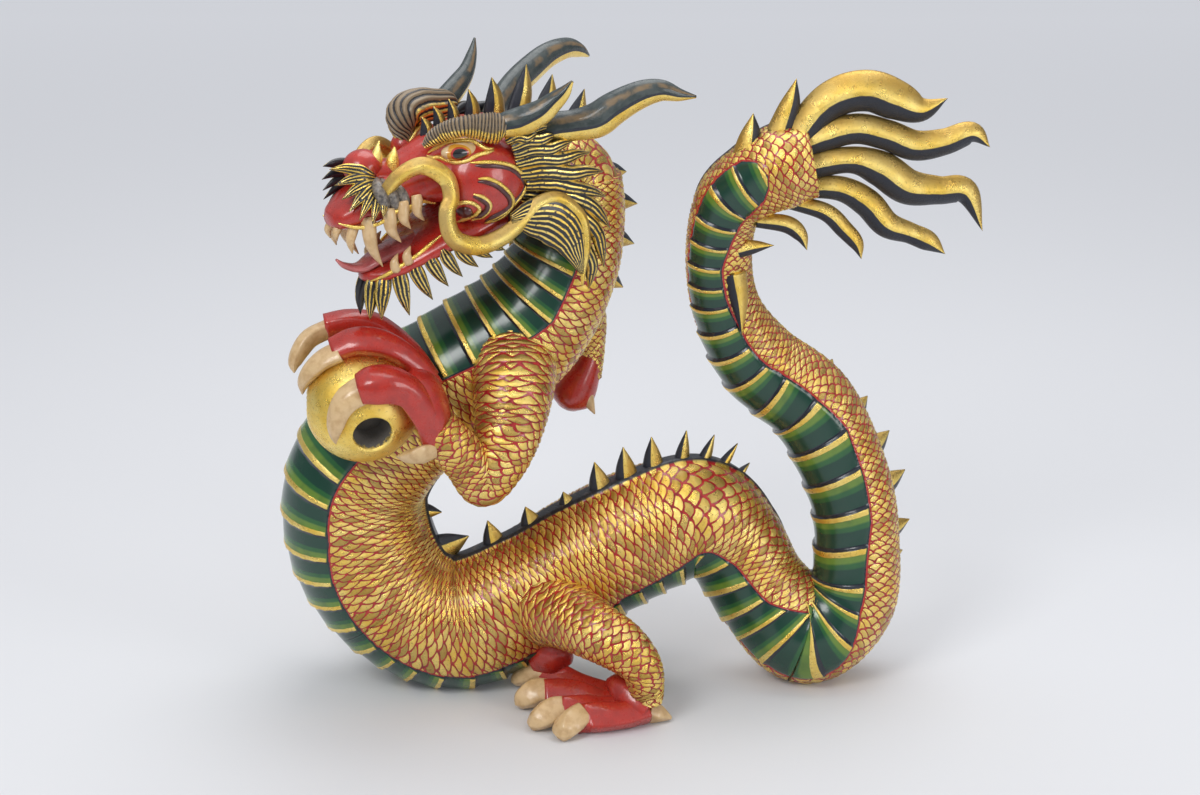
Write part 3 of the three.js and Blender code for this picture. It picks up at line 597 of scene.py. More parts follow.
step = n.math("FRACT", n.math("ADD", n.number("plate"),
                              n.math("MULTIPLY", n.math("SUBTRACT", n.noise(250.0), 0.5), 0.03)))
green = n.mix(n.ramp(step, 0.44, 0.50), GREEN_DARK, GREEN_MIDDLE)
green = n.mix(n.ramp(step, 0.58, 0.66), green, GREEN_LIGHT)
brushed = n.mix(n.ramp(n.noise(120.0, 4.0), 0.35, 0.75, 0.0, 0.35), green, GREEN_DARK)
on_gold_edge = n.math("MULTIPLY", n.ramp(step, 0.79, 0.81), n.ramp(step, 0.955, 0.945))
belly = n.number("belly")
on_gold_edge = n.math("MULTIPLY", on_gold_edge, n.ramp(belly, 1.0, 1.5))
# Painted shade: a navy line in the step from each plate's gilded rear edge to the next plate; the same navy
# also runs along the belly's border.
shade_and_border_line = n.math("MAXIMUM", n.ramp(step, 0.945, 0.955), n.ramp(step, 0.065, 0.045))
shade_and_border_line = n.math("MAXIMUM", shade_and_border_line, n.ramp(belly, 1.1, 0.7))
plate_colour = n.mix(on_gold_edge, n.mix(shade_and_border_line, brushed, NAVY), leaf["Color"])

on_belly = n.ramp(belly, -0.10, 0.10)
on_border = n.math("MULTIPLY", n.ramp(belly, -1.3, -0.9), n.math("SUBTRACT", 1.0, on_belly))
on_ridge = n.ramp(n.number("ridge"), RIDGE_HALF + 0.4, RIDGE_HALF - 0.4)
dusty = n.mix(n.ramp(n.noise(200.0, 4.0), 0.5, 0.75, 0.0, 0.5), NAVY, (0.16, 0.12, 0.10))
colour = n.mix(on_border, scale_colour, RED)
colour = n.mix(on_belly, colour, plate_colour)
n.link(n.mix(on_ridge, colour, dusty), surface["Base Color"])
metal = n.blend(on_belly, n.math("MULTIPLY", on_scale, n.math("SUBTRACT", 1.0, on_border)), on_gold_edge)
metal = n.math("MULTIPLY", metal, n.math("SUBTRACT", 1.0, on_ridge))
n.link(n.math("MULTIPLY", metal, 0.92), surface["Metallic"])
n.link(n.blend(metal, n.blend(on_ridge, 0.20, 0.42), leaf["Roughness"]), surface["Roughness"])
fine = n.math("MULTIPLY", leaf["Height"], n.blend(metal, 0.15, 1.0))
n.link(n.bump(n.math("ADD", n.math("MULTIPLY", on_scale, n.math("SUBTRACT", 1.0, on_belly)), fine),
              0.0003, 0.9), surface["Normal"])
surface["Coat Weight"].default_value = 0.25
surface["Coat Roughness"].default_value = 0.12

# %% Make the body
body_part("neck_and_chest", 0, 300, 370, 180, skin)
body_part("belly_and_back", 300, 590, 350, 180, skin)
body_part("tail", 590, SPINE_LENGTH[-1], 420, 145, skin)
print("body triangles:", totals)

# %% [markdown]
# ## Swept forms
# Horns, claws, locks of hair, legs and fronds are all a cross-section carried along a curve. The section may
# be squarish or pointed, may twist with a hint for what faces up, and may swell or shrink to a tip.

# %% A section carried along a curve
def sweep(rows, rings=24, sides=16, relief=None, square=2.0):
    """A closed form through rows of [x, y, z, half width, half height, up x, up y, up z].

    Point = place + half width * |sin|^(2/square) * side + half height * |cos|^(2/square) * up, signs kept:
    an oval at 2, squarish above it and ridged like a lozenge below it. `relief(length, angle)` adds
    millimetres to both halves. `share` runs 0 to 1 along, `top` and `flank` are the cosine and sine of the
    angle around."""
    rows = smooth_rows(rows, rings)
    path = rows[:, :3]
    total = np.linalg.norm(np.diff(path, axis=0), axis=1).sum()
    along, up, side = frames(path, rows[:, 5:8])
    angle = np.linspace(0, 2 * np.pi, sides, endpoint=False)[None, :]
    share = np.linspace(0, 1, rings)[:, None]
    cosine = np.sign(np.cos(angle)) * np.abs(np.cos(angle)) ** (2 / square)
    sine = np.sign(np.sin(angle)) * np.abs(np.sin(angle)) ** (2 / square)
    push = relief(share * total, angle) if relief else 0.0
    wide = np.maximum(rows[:, 3:4], 0.02) + push
    high = np.maximum(rows[:, 4:5], 0.02) + push
    points = (path[:, None] + (wide * sine)[..., None] * side[:, None]
              + (high * cosine)[..., None] * up[:, None])
    quads, triangles = tube_faces(rings, sides)
    full = lambda grid, first, last: np.r_[np.broadcast_to(grid, (rings, sides)).ravel(), first, last]
    values = {
        "share": full(share, 0, 1), "length": full(share * total, 0, total),
        "top": full(np.cos(angle), 0, 0), "flank": full(np.sin(angle), 0, 0)}
    return shape_of(np.vstack([points.reshape(-1, 3), path[[0, -1]]]), quads, triangles, values)

def limb(rows, up=(0, 0, 1), **options):
    """A sweep of round section: rows of [x, y, z, radius], or [x, y, z, half width, half height]."""
    rows = [[*row[:3], row[3], row[4] if len(row) > 4 else row[3], *up] for row in rows]
    return sweep(rows, **options)

def egg(centre, sizes, rings, sides):
    """An egg of three half sizes: its rings are circles scaled by the sine of the angle from the pole."""
    polar = np.linspace(0, np.pi, rings + 2)[1:-1][:, None]
    angle = np.linspace(0, 2 * np.pi, sides, endpoint=False)[None, :]
    unit_points = np.stack([np.sin(polar) * np.sin(angle), np.sin(polar) * np.cos(angle),
                            -np.cos(polar) * np.ones_like(angle)], axis=-1)
    points = np.asarray(centre) + unit_points * np.asarray(sizes)
    ends = np.asarray(centre) + np.array([[0, 0, -1.0], [0, 0, 1.0]]) * np.asarray(sizes)
    quads, triangles = tube_faces(rings, sides)
    full = lambda grid, first, last: np.r_[np.broadcast_to(grid, (rings, sides)).ravel(), first, last]
    share = polar / np.pi
    values = {"share": full(share, 0, 1), "length": full(share * 2 * sizes[2], 0, 2 * sizes[2]),
              "top": full(np.cos(angle), 0, 0), "flank": full(np.sin(angle), 0, 0)}
    return shape_of(np.vstack([points.reshape(-1, 3), ends]), quads[:, ::-1], triangles[:, ::-1], values)

def gilded_by(shape, share_of_top, share_of_flank, offset=0.0):
    """The form with one number more: above zero where the leaf lies, by which way the side of the
    section faces."""
    values = shape["values"]
    gilt = share_of_top * values["top"] + share_of_flank * values["flank"] + offset
    return shape_of(shape["points"], shape["quads"], shape["triangles"], {**values, "gilt": gilt})

def mirrored(shape):
    """The same form on the other side of the head: the second number changes sign, and faces are turned
    to face out."""
    return shape_of(shape["points"] * [1, -1, 1], shape["quads"][:, ::-1], shape["triangles"][:, ::-1],
                    shape["values"])

# %% [markdown]
# ## The head's own frame
# The head is turned over the shoulder. Its forms are given as distances to the snout, to the near side and
# up from a point inside the skull, and one small sum puts them in place. Where the photo doesn't show the
# far side, it is the near side mirrored; the horns and the brows differ from side to side.

# %% Head frame
HEAD_AT = np.array([-70.0, -20.0, 304.0])
HEAD_TURN = np.radians(30)
SNOUT = np.array([-np.cos(HEAD_TURN), -np.sin(HEAD_TURN), 0.0])
NEAR = np.array([np.sin(HEAD_TURN), -np.cos(HEAD_TURN), 0.0])
UP = np.array([0.0, 0.0, 1.0])

def on_head(shape):
    """Points given as (to the snout, to the near side, up) become places: head + f * snout + l * near +
    u * up."""
    places = HEAD_AT + shape["points"] @ np.array([SNOUT, NEAR, UP])
    return shape_of(places, shape["quads"], shape["triangles"], shape["values"])

def both_sides(shapes):
    """The near forms and their mirror images, placed on the head as one."""
    return on_head(merged(list(shapes) + [mirrored(s) for s in shapes]))

# %% [markdown]
# ## Finishes of the head and claws
# Each paint is layered like the real one: a colour that is brushed unevenly, so it is darker in patches,
# under a glossy coat.

# %% Lacquer, leaf and brushed paints
def painted(name, light, dark, roughness=0.24, coat=0.5, wear=0.35, fine_scale=180.0):
    """Brushed glossy paint: two tones mixed by soft noise, a little unevenness in gloss and height."""
    material, n, surface = new_material(name)
    cloud = n.noise(fine_scale, 4.0, 0.55)
    n.link(n.mix(n.ramp(cloud, 0.38, 0.70, 0.0, wear), light, dark), surface["Base Color"])
    n.link(n.ramp(n.noise(fine_scale * 2.0, 3.0), 0.3, 0.7, roughness, roughness + 0.14),
           surface["Roughness"])
    n.link(n.bump(n.noise(fine_scale * 0.6, 4.0), 0.0006, 0.5), surface["Normal"])
    surface["Coat Weight"].default_value = coat
    surface["Coat Roughness"].default_value = 0.08
    return material

red_lacquer = painted("red_lacquer", (0.45, 0.027, 0.016), (0.19, 0.010, 0.008))
cream_paint = painted("cream_paint", (0.66, 0.46, 0.24), (0.45, 0.26, 0.10), 0.30, 0.3, 0.6, 220.0)
pink_paint = painted("pink_paint", (0.50, 0.140, 0.135), (0.24, 0.040, 0.045), 0.22, 0.5, 0.5)
maroon_paint = painted("maroon_paint", (0.075, 0.012, 0.014), (0.020, 0.005, 0.006), 0.25, 0.4, 0.6)
navy_paint = painted("navy_paint", (0.014, 0.020, 0.034), (0.004, 0.005, 0.008), 0.25, 0.4, 0.5)

gold_leaf, n, surface = new_material("gold_leaf")
leaf = n.group(leaf_tree)
n.link(leaf["Color"], surface["Base Color"])
n.link(leaf["Roughness"], surface["Roughness"])
n.link(n.bump(leaf["Height"], 0.0003, 0.9), surface["Normal"])
surface["Metallic"].default_value = 0.92
surface["Coat Weight"].default_value = 0.2

def streaked(name, dark, lines, gold_from, gold_to, strand_count):
    """Black hair with gilded strands: leaf on the ridges of a wave that runs across `flank`, dark
    between and below."""
    material, n, surface = new_material(name)
    leaf = n.group(leaf_tree)
    flank = n.math("MULTIPLY", n.number("flank"), strand_count / 2)
    wander = n.math("MULTIPLY", n.math("SUBTRACT", n.noise(160.0, 2.0), 0.5), 0.5)
    wave = n.math("PINGPONG", n.math("ADD", flank, wander), 0.5)
    strand = n.math("MULTIPLY", n.ramp(wave, lines, lines + 0.08),
                    n.ramp(n.number("top"), gold_from, gold_to))
    strand = n.math("MULTIPLY", strand, n.ramp(n.noise(500.0, 3.0), 0.30, 0.42))
    n.link(n.mix(strand, dark, leaf["Color"]), surface["Base Color"])
    n.link(n.math("MULTIPLY", strand, 0.9), surface["Metallic"])
    n.link(n.blend(strand, 0.28, leaf["Roughness"]), surface["Roughness"])
    n.link(n.bump(n.math("ADD", strand, n.math("MULTIPLY", leaf["Height"], 0.3)), 0.0004, 0.9),
           surface["Normal"])
    surface["Coat Weight"].default_value = 0.3
    return material

gilded_hair = streaked("gilded_hair", (0.010, 0.010, 0.014), 0.25, -0.1, 0.25, 3.6)
gilded_ear = streaked("gilded_ear", (0.010, 0.010, 0.014), 0.27, 0.0, 0.35, 9)

two_faced, n, surface = new_material("gold_and_navy_faces")
leaf = n.group(leaf_tree)
facing = n.math("ADD", n.number("gilt"), n.math("MULTIPLY", n.math("SUBTRACT", n.noise(260.0), 0.5), 0.12))
gilt = n.ramp(facing, -0.04, 0.04)
# Painted shade: the leaf turns brown on the face where the gilt number is highest, which on the fronds is the
# face turned up.
painted_shade = n.mix(n.ramp(facing, 0.35, 0.85, 0.0, 0.65), leaf["Color"], (0.36, 0.20, 0.060))
n.link(n.mix(gilt, (0.012, 0.016, 0.028), painted_shade), surface["Base Color"])
n.link(n.math("MULTIPLY", gilt, 0.92), surface["Metallic"])
n.link(n.blend(gilt, 0.28, leaf["Roughness"]), surface["Roughness"])
n.link(n.bump(leaf["Height"], 0.0003, 0.8), surface["Normal"])

def horn_colours():
    """Slate above with a tan streak along it, a dark edge and leaf below, by which way the section faces."""
    material, n, surface = new_material("horn_paint")
    leaf = n.group(leaf_tree)
    wander = n.math("MULTIPLY", n.math("SUBTRACT", n.noise(120.0), 0.5), 0.30)
    top = n.math("ADD", n.number("gilt"), wander)
    streak = n.math("MULTIPLY", n.ramp(top, 0.35, 0.50), n.ramp(top, 0.85, 0.65))
    streak = n.math("MULTIPLY", streak, n.ramp(n.noise(90.0, 4.0, 0.6), 0.35, 0.60))
    slate = n.mix(n.ramp(n.noise(160.0, 4.0), 0.35, 0.7), (0.020, 0.034, 0.034), (0.055, 0.070, 0.068))
    dark = n.mix(streak, slate, (0.20, 0.13, 0.062))
    dark = n.mix(n.ramp(top, 0.0, -0.12), dark, (0.006, 0.010, 0.022))
    gilt = n.ramp(n.number("gilt"), -0.26, -0.30)
    n.link(n.mix(gilt, dark, leaf["Color"]), surface["Base Color"])
    n.link(n.math("MULTIPLY", gilt, 0.92), surface["Metallic"])
    n.link(n.blend(gilt, 0.26, leaf["Roughness"]), surface["Roughness"])
    n.link(n.bump(leaf["Height"], 0.0003, 0.7), surface["Normal"])
    surface["Coat Weight"].default_value = 0.35
    return material

def brow_colours():
    """Cut strands: worn grey ones above, gilded ones between black grooves below."""
    material, n, surface = new_material("brow_strands")
    leaf = n.group(leaf_tree)
    wave = n.number("strand")
    low = n.math("ADD", n.number("gilt"), n.math("MULTIPLY", n.math("SUBTRACT", n.noise(300.0), 0.5), 0.8))
    low = n.ramp(low, 0.0, 0.25)
    strand = n.ramp(n.math("ADD", wave, n.math("MULTIPLY", n.math("SUBTRACT", n.noise(600.0), 0.5), 0.6)),
                    0.15, 0.40)
    worn = n.mix(strand, (0.022, 0.020, 0.022), (0.24, 0.175, 0.105))
    gilded = n.mix(strand, (0.010, 0.010, 0.014), leaf["Color"])
    n.link(n.mix(low, worn, gilded), surface["Base Color"])
    metal = n.math("MULTIPLY", strand, low)
    n.link(n.math("MULTIPLY", metal, 0.92), surface["Metallic"])
    n.link(n.blend(metal, 0.38, leaf["Roughness"]), surface["Roughness"])
    n.link(n.bump(wave, 0.0003, 0.8), surface["Normal"])
    return material

def leaf_with_painted_shade():
    """Leaf with painted shade: pinkish brown and less metallic on one face of a band, the face turned up."""
    material, n, surface = new_material("leaf_with_painted_shade")
    leaf = n.group(leaf_tree)
    # Painted shade: the face of the band that is turned up is painted pinkish brown and less metallic.
    painted_shade = n.math("ADD", n.number("gilt"),
                    n.math("MULTIPLY", n.math("SUBTRACT", n.noise(200.0), 0.5), 0.25))
    painted_shade = n.ramp(painted_shade, 0.30, 0.60, 0.0, 0.55)
    n.link(n.mix(painted_shade, leaf["Color"], (0.30, 0.150, 0.065)), surface["Base Color"])
    n.link(n.blend(painted_shade, 0.92, 0.45), surface["Metallic"])
    n.link(n.blend(painted_shade, leaf["Roughness"], 0.40), surface["Roughness"])
    n.link(n.bump(leaf["Height"], 0.0003, 0.8), surface["Normal"])
    return material

horn_paint = horn_colours()
brow_strands = brow_colours()
whisker_leaf_with_painted_shade = leaf_with_painted_shade()
grey_hair = painted("grey_hair", (0.22, 0.19, 0.16), (0.045, 0.042, 0.042), 0.35, 0.2, 0.9, 700.0)
print("materials:", [m.name for m in bpy.data.materials])

# %% [markdown]
# ## Skull, cheeks and jaw
# The red skin is a loft: at each step from the nape to the snout it has a middle height, a half width and a
# half height. Soft mounds on top of that shape the socket and the brow, and a separate egg swells out as
# the cheek.

# %% Red skin of the head
SKULL = np.array([  # to the snout, middle height, half width, half height
    [-46, 2, 18, 20], [-38, 4, 28, 26], [-18, 8, 32, 26], [2, 10, 32, 24], [16, 10, 30, 20],
    [30, 6, 25, 13.5],
    [44, 2, 21, 11], [60, -3, 18.5, 12], [74, -8, 15.5, 9.5], [81, -11, 11, 6], [83.5, -11.5, 6, 3.5],
])
CHEEK = {"f": 5.0, "u": 6.0, "reach_f": 17.0, "reach_u": 19.0, "height": 3.0}
CHEEK_AT = (2.5, 21.0, 4.0)
CHEEK_SIZES = (25.0, 18.0, 24.0)

def mound(f, u, centre_f, centre_u, reach_f, reach_u, height):
    """A soft hill: height * exp(-(distance in units of its reach)^2)."""
    return height * np.exp(-((f - centre_f) / reach_f) ** 2 - ((u - centre_u) / reach_u) ** 2)

def skin_swell(f, u):
    """How far the near side of the face stands out beyond the plain loft, in millimetres."""
    cheek = mound(f, u, CHEEK["f"], CHEEK["u"], CHEEK["reach_f"], CHEEK["reach_u"], CHEEK["height"])
    socket = mound(f, u, 20, 23, 12, 6, -3.0)
    brow = mound(f, u, 14, 36, 20, 6, 4.0)
    return cheek + socket + brow

def loft(sections, rings, sides, square=2.4, swell=None):
    """A closed form along the snout from rows of [f, middle height, half width, half height].

    l = half width * |sin|^(2/square), u = middle + half height * |cos|^(2/square), signs kept, and the swell
    pushes the sides out."""
    places = np.linspace(0, len(sections) - 1, rings)
    rows = np.stack([np.interp(places, np.arange(len(sections)), column) for column in sections.T], axis=1)
    padded = np.vstack([rows[:1]] * 3 + [rows] + [rows[-1:]] * 3)
    rows = np.stack([np.convolve(column, np.ones(7) / 7, mode="valid") for column in padded.T], axis=1)
    angle = np.linspace(0, 2 * np.pi, sides, endpoint=False)[None, :]
    cosine = np.sign(np.cos(angle)) * np.abs(np.cos(angle)) ** (2 / square)
    sine = np.sign(np.sin(angle)) * np.abs(np.sin(angle)) ** (2 / square)
    f = rows[:, 0:1] + 0 * angle
    u = rows[:, 1:2] + rows[:, 3:4] * cosine
    l = rows[:, 2:3] * sine
    if swell:
        l = l + swell(f, u) * np.sign(sine) * np.minimum(1, np.abs(sine) * 1.6)
    points = np.stack([f, l, u], axis=-1)
    poles = np.stack([rows[[0, -1], 0], [0, 0], rows[[0, -1], 1]], axis=1)
    quads, triangles = tube_faces(rings, sides)
    full = lambda grid, first, last: np.r_[np.broadcast_to(grid, (rings, sides)).ravel(), first, last]
    share = np.linspace(0, 1, rings)[:, None]
    values = {"share": full(share, 0, 1), "length": full(f, poles[0, 0], poles[1, 0]),
              "top": full(np.cos(angle), 0, 0), "flank": full(np.sin(angle), 0, 0)}
    return shape_of(np.vstack([points.reshape(-1, 3), poles]), quads[:, ::-1], triangles[:, ::-1], values)

new_piece("head_skin", on_head(loft(SKULL, 170, 200, 2.3, skin_swell)), red_lacquer)
new_piece("cheeks", both_sides([egg(CHEEK_AT, CHEEK_SIZES, 130, 150)]), red_lacquer)

JAW = np.array([
    [-22, -14, 26, 13], [8, -21, 31, 11], [24, -26, 29, 9], [38, -33, 24.5, 7.5], [50, -40, 18.5, 6.5],
    [59, -44, 12, 5], [64, -44.5, 7, 3.6], [66, -44.5, 3, 2],
])
new_piece("jaw_skin", on_head(loft(JAW, 100, 100, 2.2)), red_lacquer)

# %% Tongue and teeth
TONGUE = [[18, 0, -22, 14, 4, 0, 0, 1], [38, 0, -29, 12, 4, 0, 0, 1], [55, 0, -35, 9.5, 3.4, 0, 0, 1],
          [66, 0, -40, 6.5, 2.6, 0, 0, 1], [75, 0, -38, 3.0, 1.8, 0, 0, 1],
          [80, 0, -34, 0.6, 0.6, 0, 0, 1]]
new_piece("tongue", on_head(sweep(TONGUE, 40, 24)), pink_paint)

UPPER_TEETH = [  # root f, l, u; tip f, u; radius
    [79, 4, -14, 81, -23, 2.6], [74, 10, -15, 75, -29, 3.0], [67.5, 15, -13, 60, -37, 4.0],
    [57.4, 19.2, -8.6, 51, -24, 3.8], [50, 21, -5, 46, -17, 3.3], [43, 23, -2, 39, -13, 3.0],
]
LOWER_TEETH = [[52, 15, -40, 51, -31, 3.0], [46, 18, -36, 45, -27, 3.0]]
teeth = []
for f, l, u, tip_f, tip_u, radius in UPPER_TEETH + LOWER_TEETH:
    middle = [0.6 * f + 0.4 * tip_f + 2.0, l + 1.0, (u + tip_u) / 2, radius * 0.8]
    teeth.append(limb([[f, l - 1, u + 3, radius * 0.9], [f, l, u, radius], middle, [tip_f, l, tip_u, 0.3]],
                      (1, 0, 0), rings=14, sides=12))
new_piece("teeth", both_sides(teeth), cream_paint)

# %% Nose and its spikes
nose = [
    egg((63, 0, 14), (11, 10, 9.5), 28, 32),
    limb([[60, 0, 9, 9.5], [46, 0, 8.5, 9], [28, 0, 14, 12], [14, 0, 20, 13]], rings=40, sides=28),
]
new_piece("nose", on_head(merged(nose)), red_lacquer)
NOSE_SPIKES = [[[58, 3, 14, 3], [57, 4, 19, 3.4], [55, 2, 24, 1.6], [53, 0, 27, 0.4]],
               [[48, 5, 11, 3.6], [48, 5, 17, 3.4], [46, 3, 21, 1.6], [45, 1, 23, 0.4]]]
new_piece("nose_spikes",
          on_head(merged([limb(rows, (1, 0, 0), rings=16, sides=14) for rows in NOSE_SPIKES])), gold_leaf)
FAR_LID = {"centre": (29, -20, 18), "sizes": (7.5, 7, 7.5)}
new_piece("far_lid", on_head(egg(**FAR_LID, rings=24, sides=28)), red_lacquer)

# %% [markdown]
# ## Gilded bands of the face
# A thick gilded whisker leaves the nose, runs back under the cheek and becomes the rim of the ear. Each
# brow is a roll cut into fine strands, worn grey above and gilded below.

# %% Whisker, brow and ear
WHISKER = [[59, 16, 2], [53, 24, 13], [42, 29, 18], [31, 33, 11], [29, 35, 1], [32, 36, -6], [31, 36, -16],
           [26, 36, -23],
           [14, 36, -27], [1, 37, -24], [-11, 37, -17], [-21, 38, -8], [-32, 39, -6], [-41, 40, -12],
           [-47, 41, -20],
           [-49, 41, -34], [-47, 41, -48], [-46, 41, -56]]
whisker_half = np.interp(np.arange(len(WHISKER)), [0, 1, 5, 9, 12, 15, 17],
                         [4.2, 4.8, 5.0, 5.2, 3.8, 2.4, 0.8])
whisker = sweep([[*place, half, half * 0.8, 0, 1, 0] for place, half in zip(WHISKER, whisker_half)],
                200, 16, square=1.3)
share = whisker["values"]["share"]
# Here gilt marks the face that is turned up, which gets the painted shade; that face changes twice along the
# whisker as it turns.
flip = 1 - 2 * soft_step(share, 0.17, 0.24) + 2 * soft_step(share, 0.42, 0.47)
whisker["values"]["gilt"] = -whisker["values"]["flank"] * flip
new_piece("whiskers", both_sides([whisker]), whisker_leaf_with_painted_shade)

STRAND_PITCH = 1.7
FAR_STRANDS = 13

def strands(rows, up, gilt_share):
    """A roll cut across into strands: its radius swells and shrinks by cos(2 pi length / pitch)."""
    shape = limb(rows, up, rings=150, sides=26,
                 relief=lambda length, angle: 0.35 * np.cos(2 * np.pi * length / STRAND_PITCH) + 0 * angle)
    shape["values"]["strand"] = 0.5 + 0.5 * np.cos(2 * np.pi * shape["values"]["length"] / STRAND_PITCH)
    return gilded_by(shape, *gilt_share)

BROW = [[33, 13, 24.5, 1.6], [29.5, 16.5, 29, 4.2], [24, 21, 33, 5.0], [18, 26, 35.5, 5.4],
        [11, 29, 35.5, 6.5], [4, 32, 34.5, 8],
        [-1, 34, 34, 7.4], [-4.5, 35.5, 33, 3]]
FAR_BROW = [[27, -16, 19, 2], [30, -19, 26, 6], [27.5, -23, 34, 9.5], [18, -26, 37, 9.6],
            [8, -28, 36.5, 8.5], [-2, -30, 36, 6.5],
            [-8, -32, 34, 2]]
near_brow = strands(BROW, (0, 0, 1), (-1.0, -0.2, 0.25))
far_brow = limb(FAR_BROW, (0, 0, 1), rings=50, sides=8 * FAR_STRANDS,
                relief=lambda length, angle: 0.4 * np.cos(FAR_STRANDS * angle) + 0 * length)
around = np.arctan2(far_brow["values"]["flank"], far_brow["values"]["top"])
far_brow["values"]["strand"] = 0.5 + 0.5 * np.cos(FAR_STRANDS * around)
far_brow = gilded_by(far_brow, -0.6, 0.2, 0.05)
new_piece("brows", on_head(merged([near_brow, far_brow])), brow_strands)

EAR = [[-5, 36, -15, 3, 3, 0, 1, 0], [-16, 37, -15, 10, 3.4, 0, 1, 0],
       [-28, 38.5, -17, 13.5, 3.6, 0, 1, 0],
       [-37, 39, -24, 13, 3.6, 0, 1, 0], [-42, 39.5, -34, 9, 3, 0, 1, 0],
       [-46, 41, -49, 1.2, 1.2, 0, 1, 0]]
ear = sweep(EAR, 50, 36)
new_piece("ears", both_sides([ear]), gilded_ear)

# %% Eyes
EYE_AT = np.array([17.5, 24.5, 22.0])
IRIS = (6.6, 4.6)
GAZE_FORWARD = 3.3
EYE_SIZES = (11.5, 6.0, 4.7)
eye = egg(EYE_AT, EYE_SIZES, 50, 80)
away = eye["points"] - EYE_AT
eye["values"] = {"gaze": np.where(away[:, 1] > 0, np.hypot((away[:, 0] - GAZE_FORWARD) / IRIS[0],
                                                           away[:, 2] / IRIS[1]), 2.0)}

eye_paint, n, surface = new_material("eye_paint")
gaze = n.number("gaze")
colour = n.mix(n.ramp(gaze, 0.96, 1.02), (0.62, 0.28, 0.03), (0.68, 0.50, 0.28))
colour = n.mix(n.ramp(gaze, 0.78, 0.72), colour, (0.42, 0.03, 0.02))
colour = n.mix(n.ramp(gaze, 0.62, 0.57), colour, (0.008, 0.007, 0.008))
n.link(colour, surface["Base Color"])
surface["Roughness"].default_value = 0.16
surface["Coat Weight"].default_value = 0.6
new_piece("eyes", both_sides([eye]), eye_paint)

# %% [markdown]
# ## Lines of the face
# Thin raised lines, gilded, run in arcs around the corner of the mouth, along the lip, the jaw and the
# eyelids. On the real carving a groove, painted dark red, lies inside each arc of the cheek. Here a thicker
# cord of that colour, half sunk into the cheek, stands for it, since a cut would need a much finer skin.

# %% Gilded and dark lines
CHEEK_ARCS = [
    [[16.3, 32.1, 17.4], [8.9, 35.2, 17.4], [2.2, 36.3, 16.6], [-5.7, 36.2, 14.1], [-11.7, 35.2, 9.7],
     [-15.7, 33.3, 4.7],
     [-16.7, 32.4, 1.6], [-13.5, 33.9, -2.7], [-9.8, 35, -5.4], [-3.7, 34.8, -10.2], [2.3, 33.4, -13.3],
     [6.5, 29.6, -16.7]],
    [[13.9, 36.5, 9.4], [9.2, 37.9, 9.1], [3.7, 38.9, 6.5], [-1.8, 38.7, 1.9], [-5.5, 37.3, -2.7],
     [-6.7, 35.5, -7.1],
     [-4.2, 33.8, -11.6], [1, 32, -14.9], [6.8, 29, -17.1]],
    [[16.6, 35.7, 1.3], [12, 37.3, -0.5], [7.9, 37.4, -4.3], [7.8, 35.9, -8.5], [10.6, 33, -12.1],
     [14.2, 28.2, -14.9]],
]
MOUTH_CORNER = [[22.7, 28.5, -6.1], [21.9, 30.6, -4.1], [19.9, 32.7, -3.3], [16.2, 34.8, -3.9],
                [12.9, 35.2, -7], [14, 32.6, -10.7],
                [17, 25.4, -14.6], [18.7, 20.4, -16.9]]
OTHER_LINES = [
    [[30.7, 11.3, 20.2], [26.9, 14, 23], [23.1, 17, 25.6], [19.3, 20, 27], [15.6, 23, 27.6],
     [11.6, 25.5, 27.4], [9.4, 27.7, 25.9],
     [6.1, 31.2, 23.5], [2, 31.6, 23.4]],
    [[31.1, 10.4, 18.7], [29.5, 14.5, 18], [27.2, 17, 18.5], [24.8, 21.8, 17.5], [21.6, 27.2, 17.1],
     [17.3, 30.7, 18.4],
     [11.9, 31.9, 20.8], [6.3, 32.7, 21.9], [2.5, 32.4, 22.5]],
    [[82.3, 9, -12], [74.4, 14, -14], [68.5, 16.5, -13.7], [62.9, 18.5, -12.2], [59.1, 19.2, -10],
     [53, 20.2, -6.4],
     [45.5, 21.4, -4.6], [40.4, 22, -2.6], [31.4, 21, -5]],
    [[26.3, 21.6, -21.1], [35, 21, -26.7], [42.3, 20, -31.9], [50.7, 16.6, -37.6], [57.7, 12.7, -42.5],
     [63.6, 6.4, -46.5]],
]
MOUTH_MIDDLE = np.array([17.0, 26.0, -9.0])
LINE_RADIUS = 1.2
LINE_OUT = 0.45
GROOVE_RADIUS = 1.5
GROOVE_INWARD = 2.0

def line(points, radius, inward=0.0):
    """A cord through points of the face, thin at its ends; `inward` moves it towards the corner of the
    mouth."""
    points = np.asarray(points, float)
    points = points + unit(MOUTH_MIDDLE - points) * [inward, 0.25 * inward, inward]
    points = points + [0, LINE_OUT, 0]
    radii = np.r_[0.4, np.full(len(points) - 2, radius), 0.4]
    return limb(np.column_stack([points, radii]), (0, 1, 0), rings=8 * len(points), sides=8)

gilded_lines = [line(points, LINE_RADIUS) for points in CHEEK_ARCS + [MOUTH_CORNER] + OTHER_LINES]
new_piece("face_lines", both_sides(gilded_lines), gold_leaf)
dark_lines = [line(points, GROOVE_RADIUS, GROOVE_INWARD) for points in CHEEK_ARCS]
# The hole at the corner of the mouth is not cut: a dark maroon egg stands in its place, as painted shade for
# the inside of the hole.
HOLE = {"centre": (17.5, 27.5, -8.5), "sizes": (4.6, 6.2, 4.6)}
hole_shade = egg(**HOLE, rings=24, sides=28)
new_piece("face_grooves", both_sides(dark_lines + [hole_shade]), maroon_paint)

# %% [markdown]
# ## Horns and crest
# Two long horns sweep back from the skull and two short ones rise behind the brows; a crest of flat spikes
# runs from the brow to the nape.

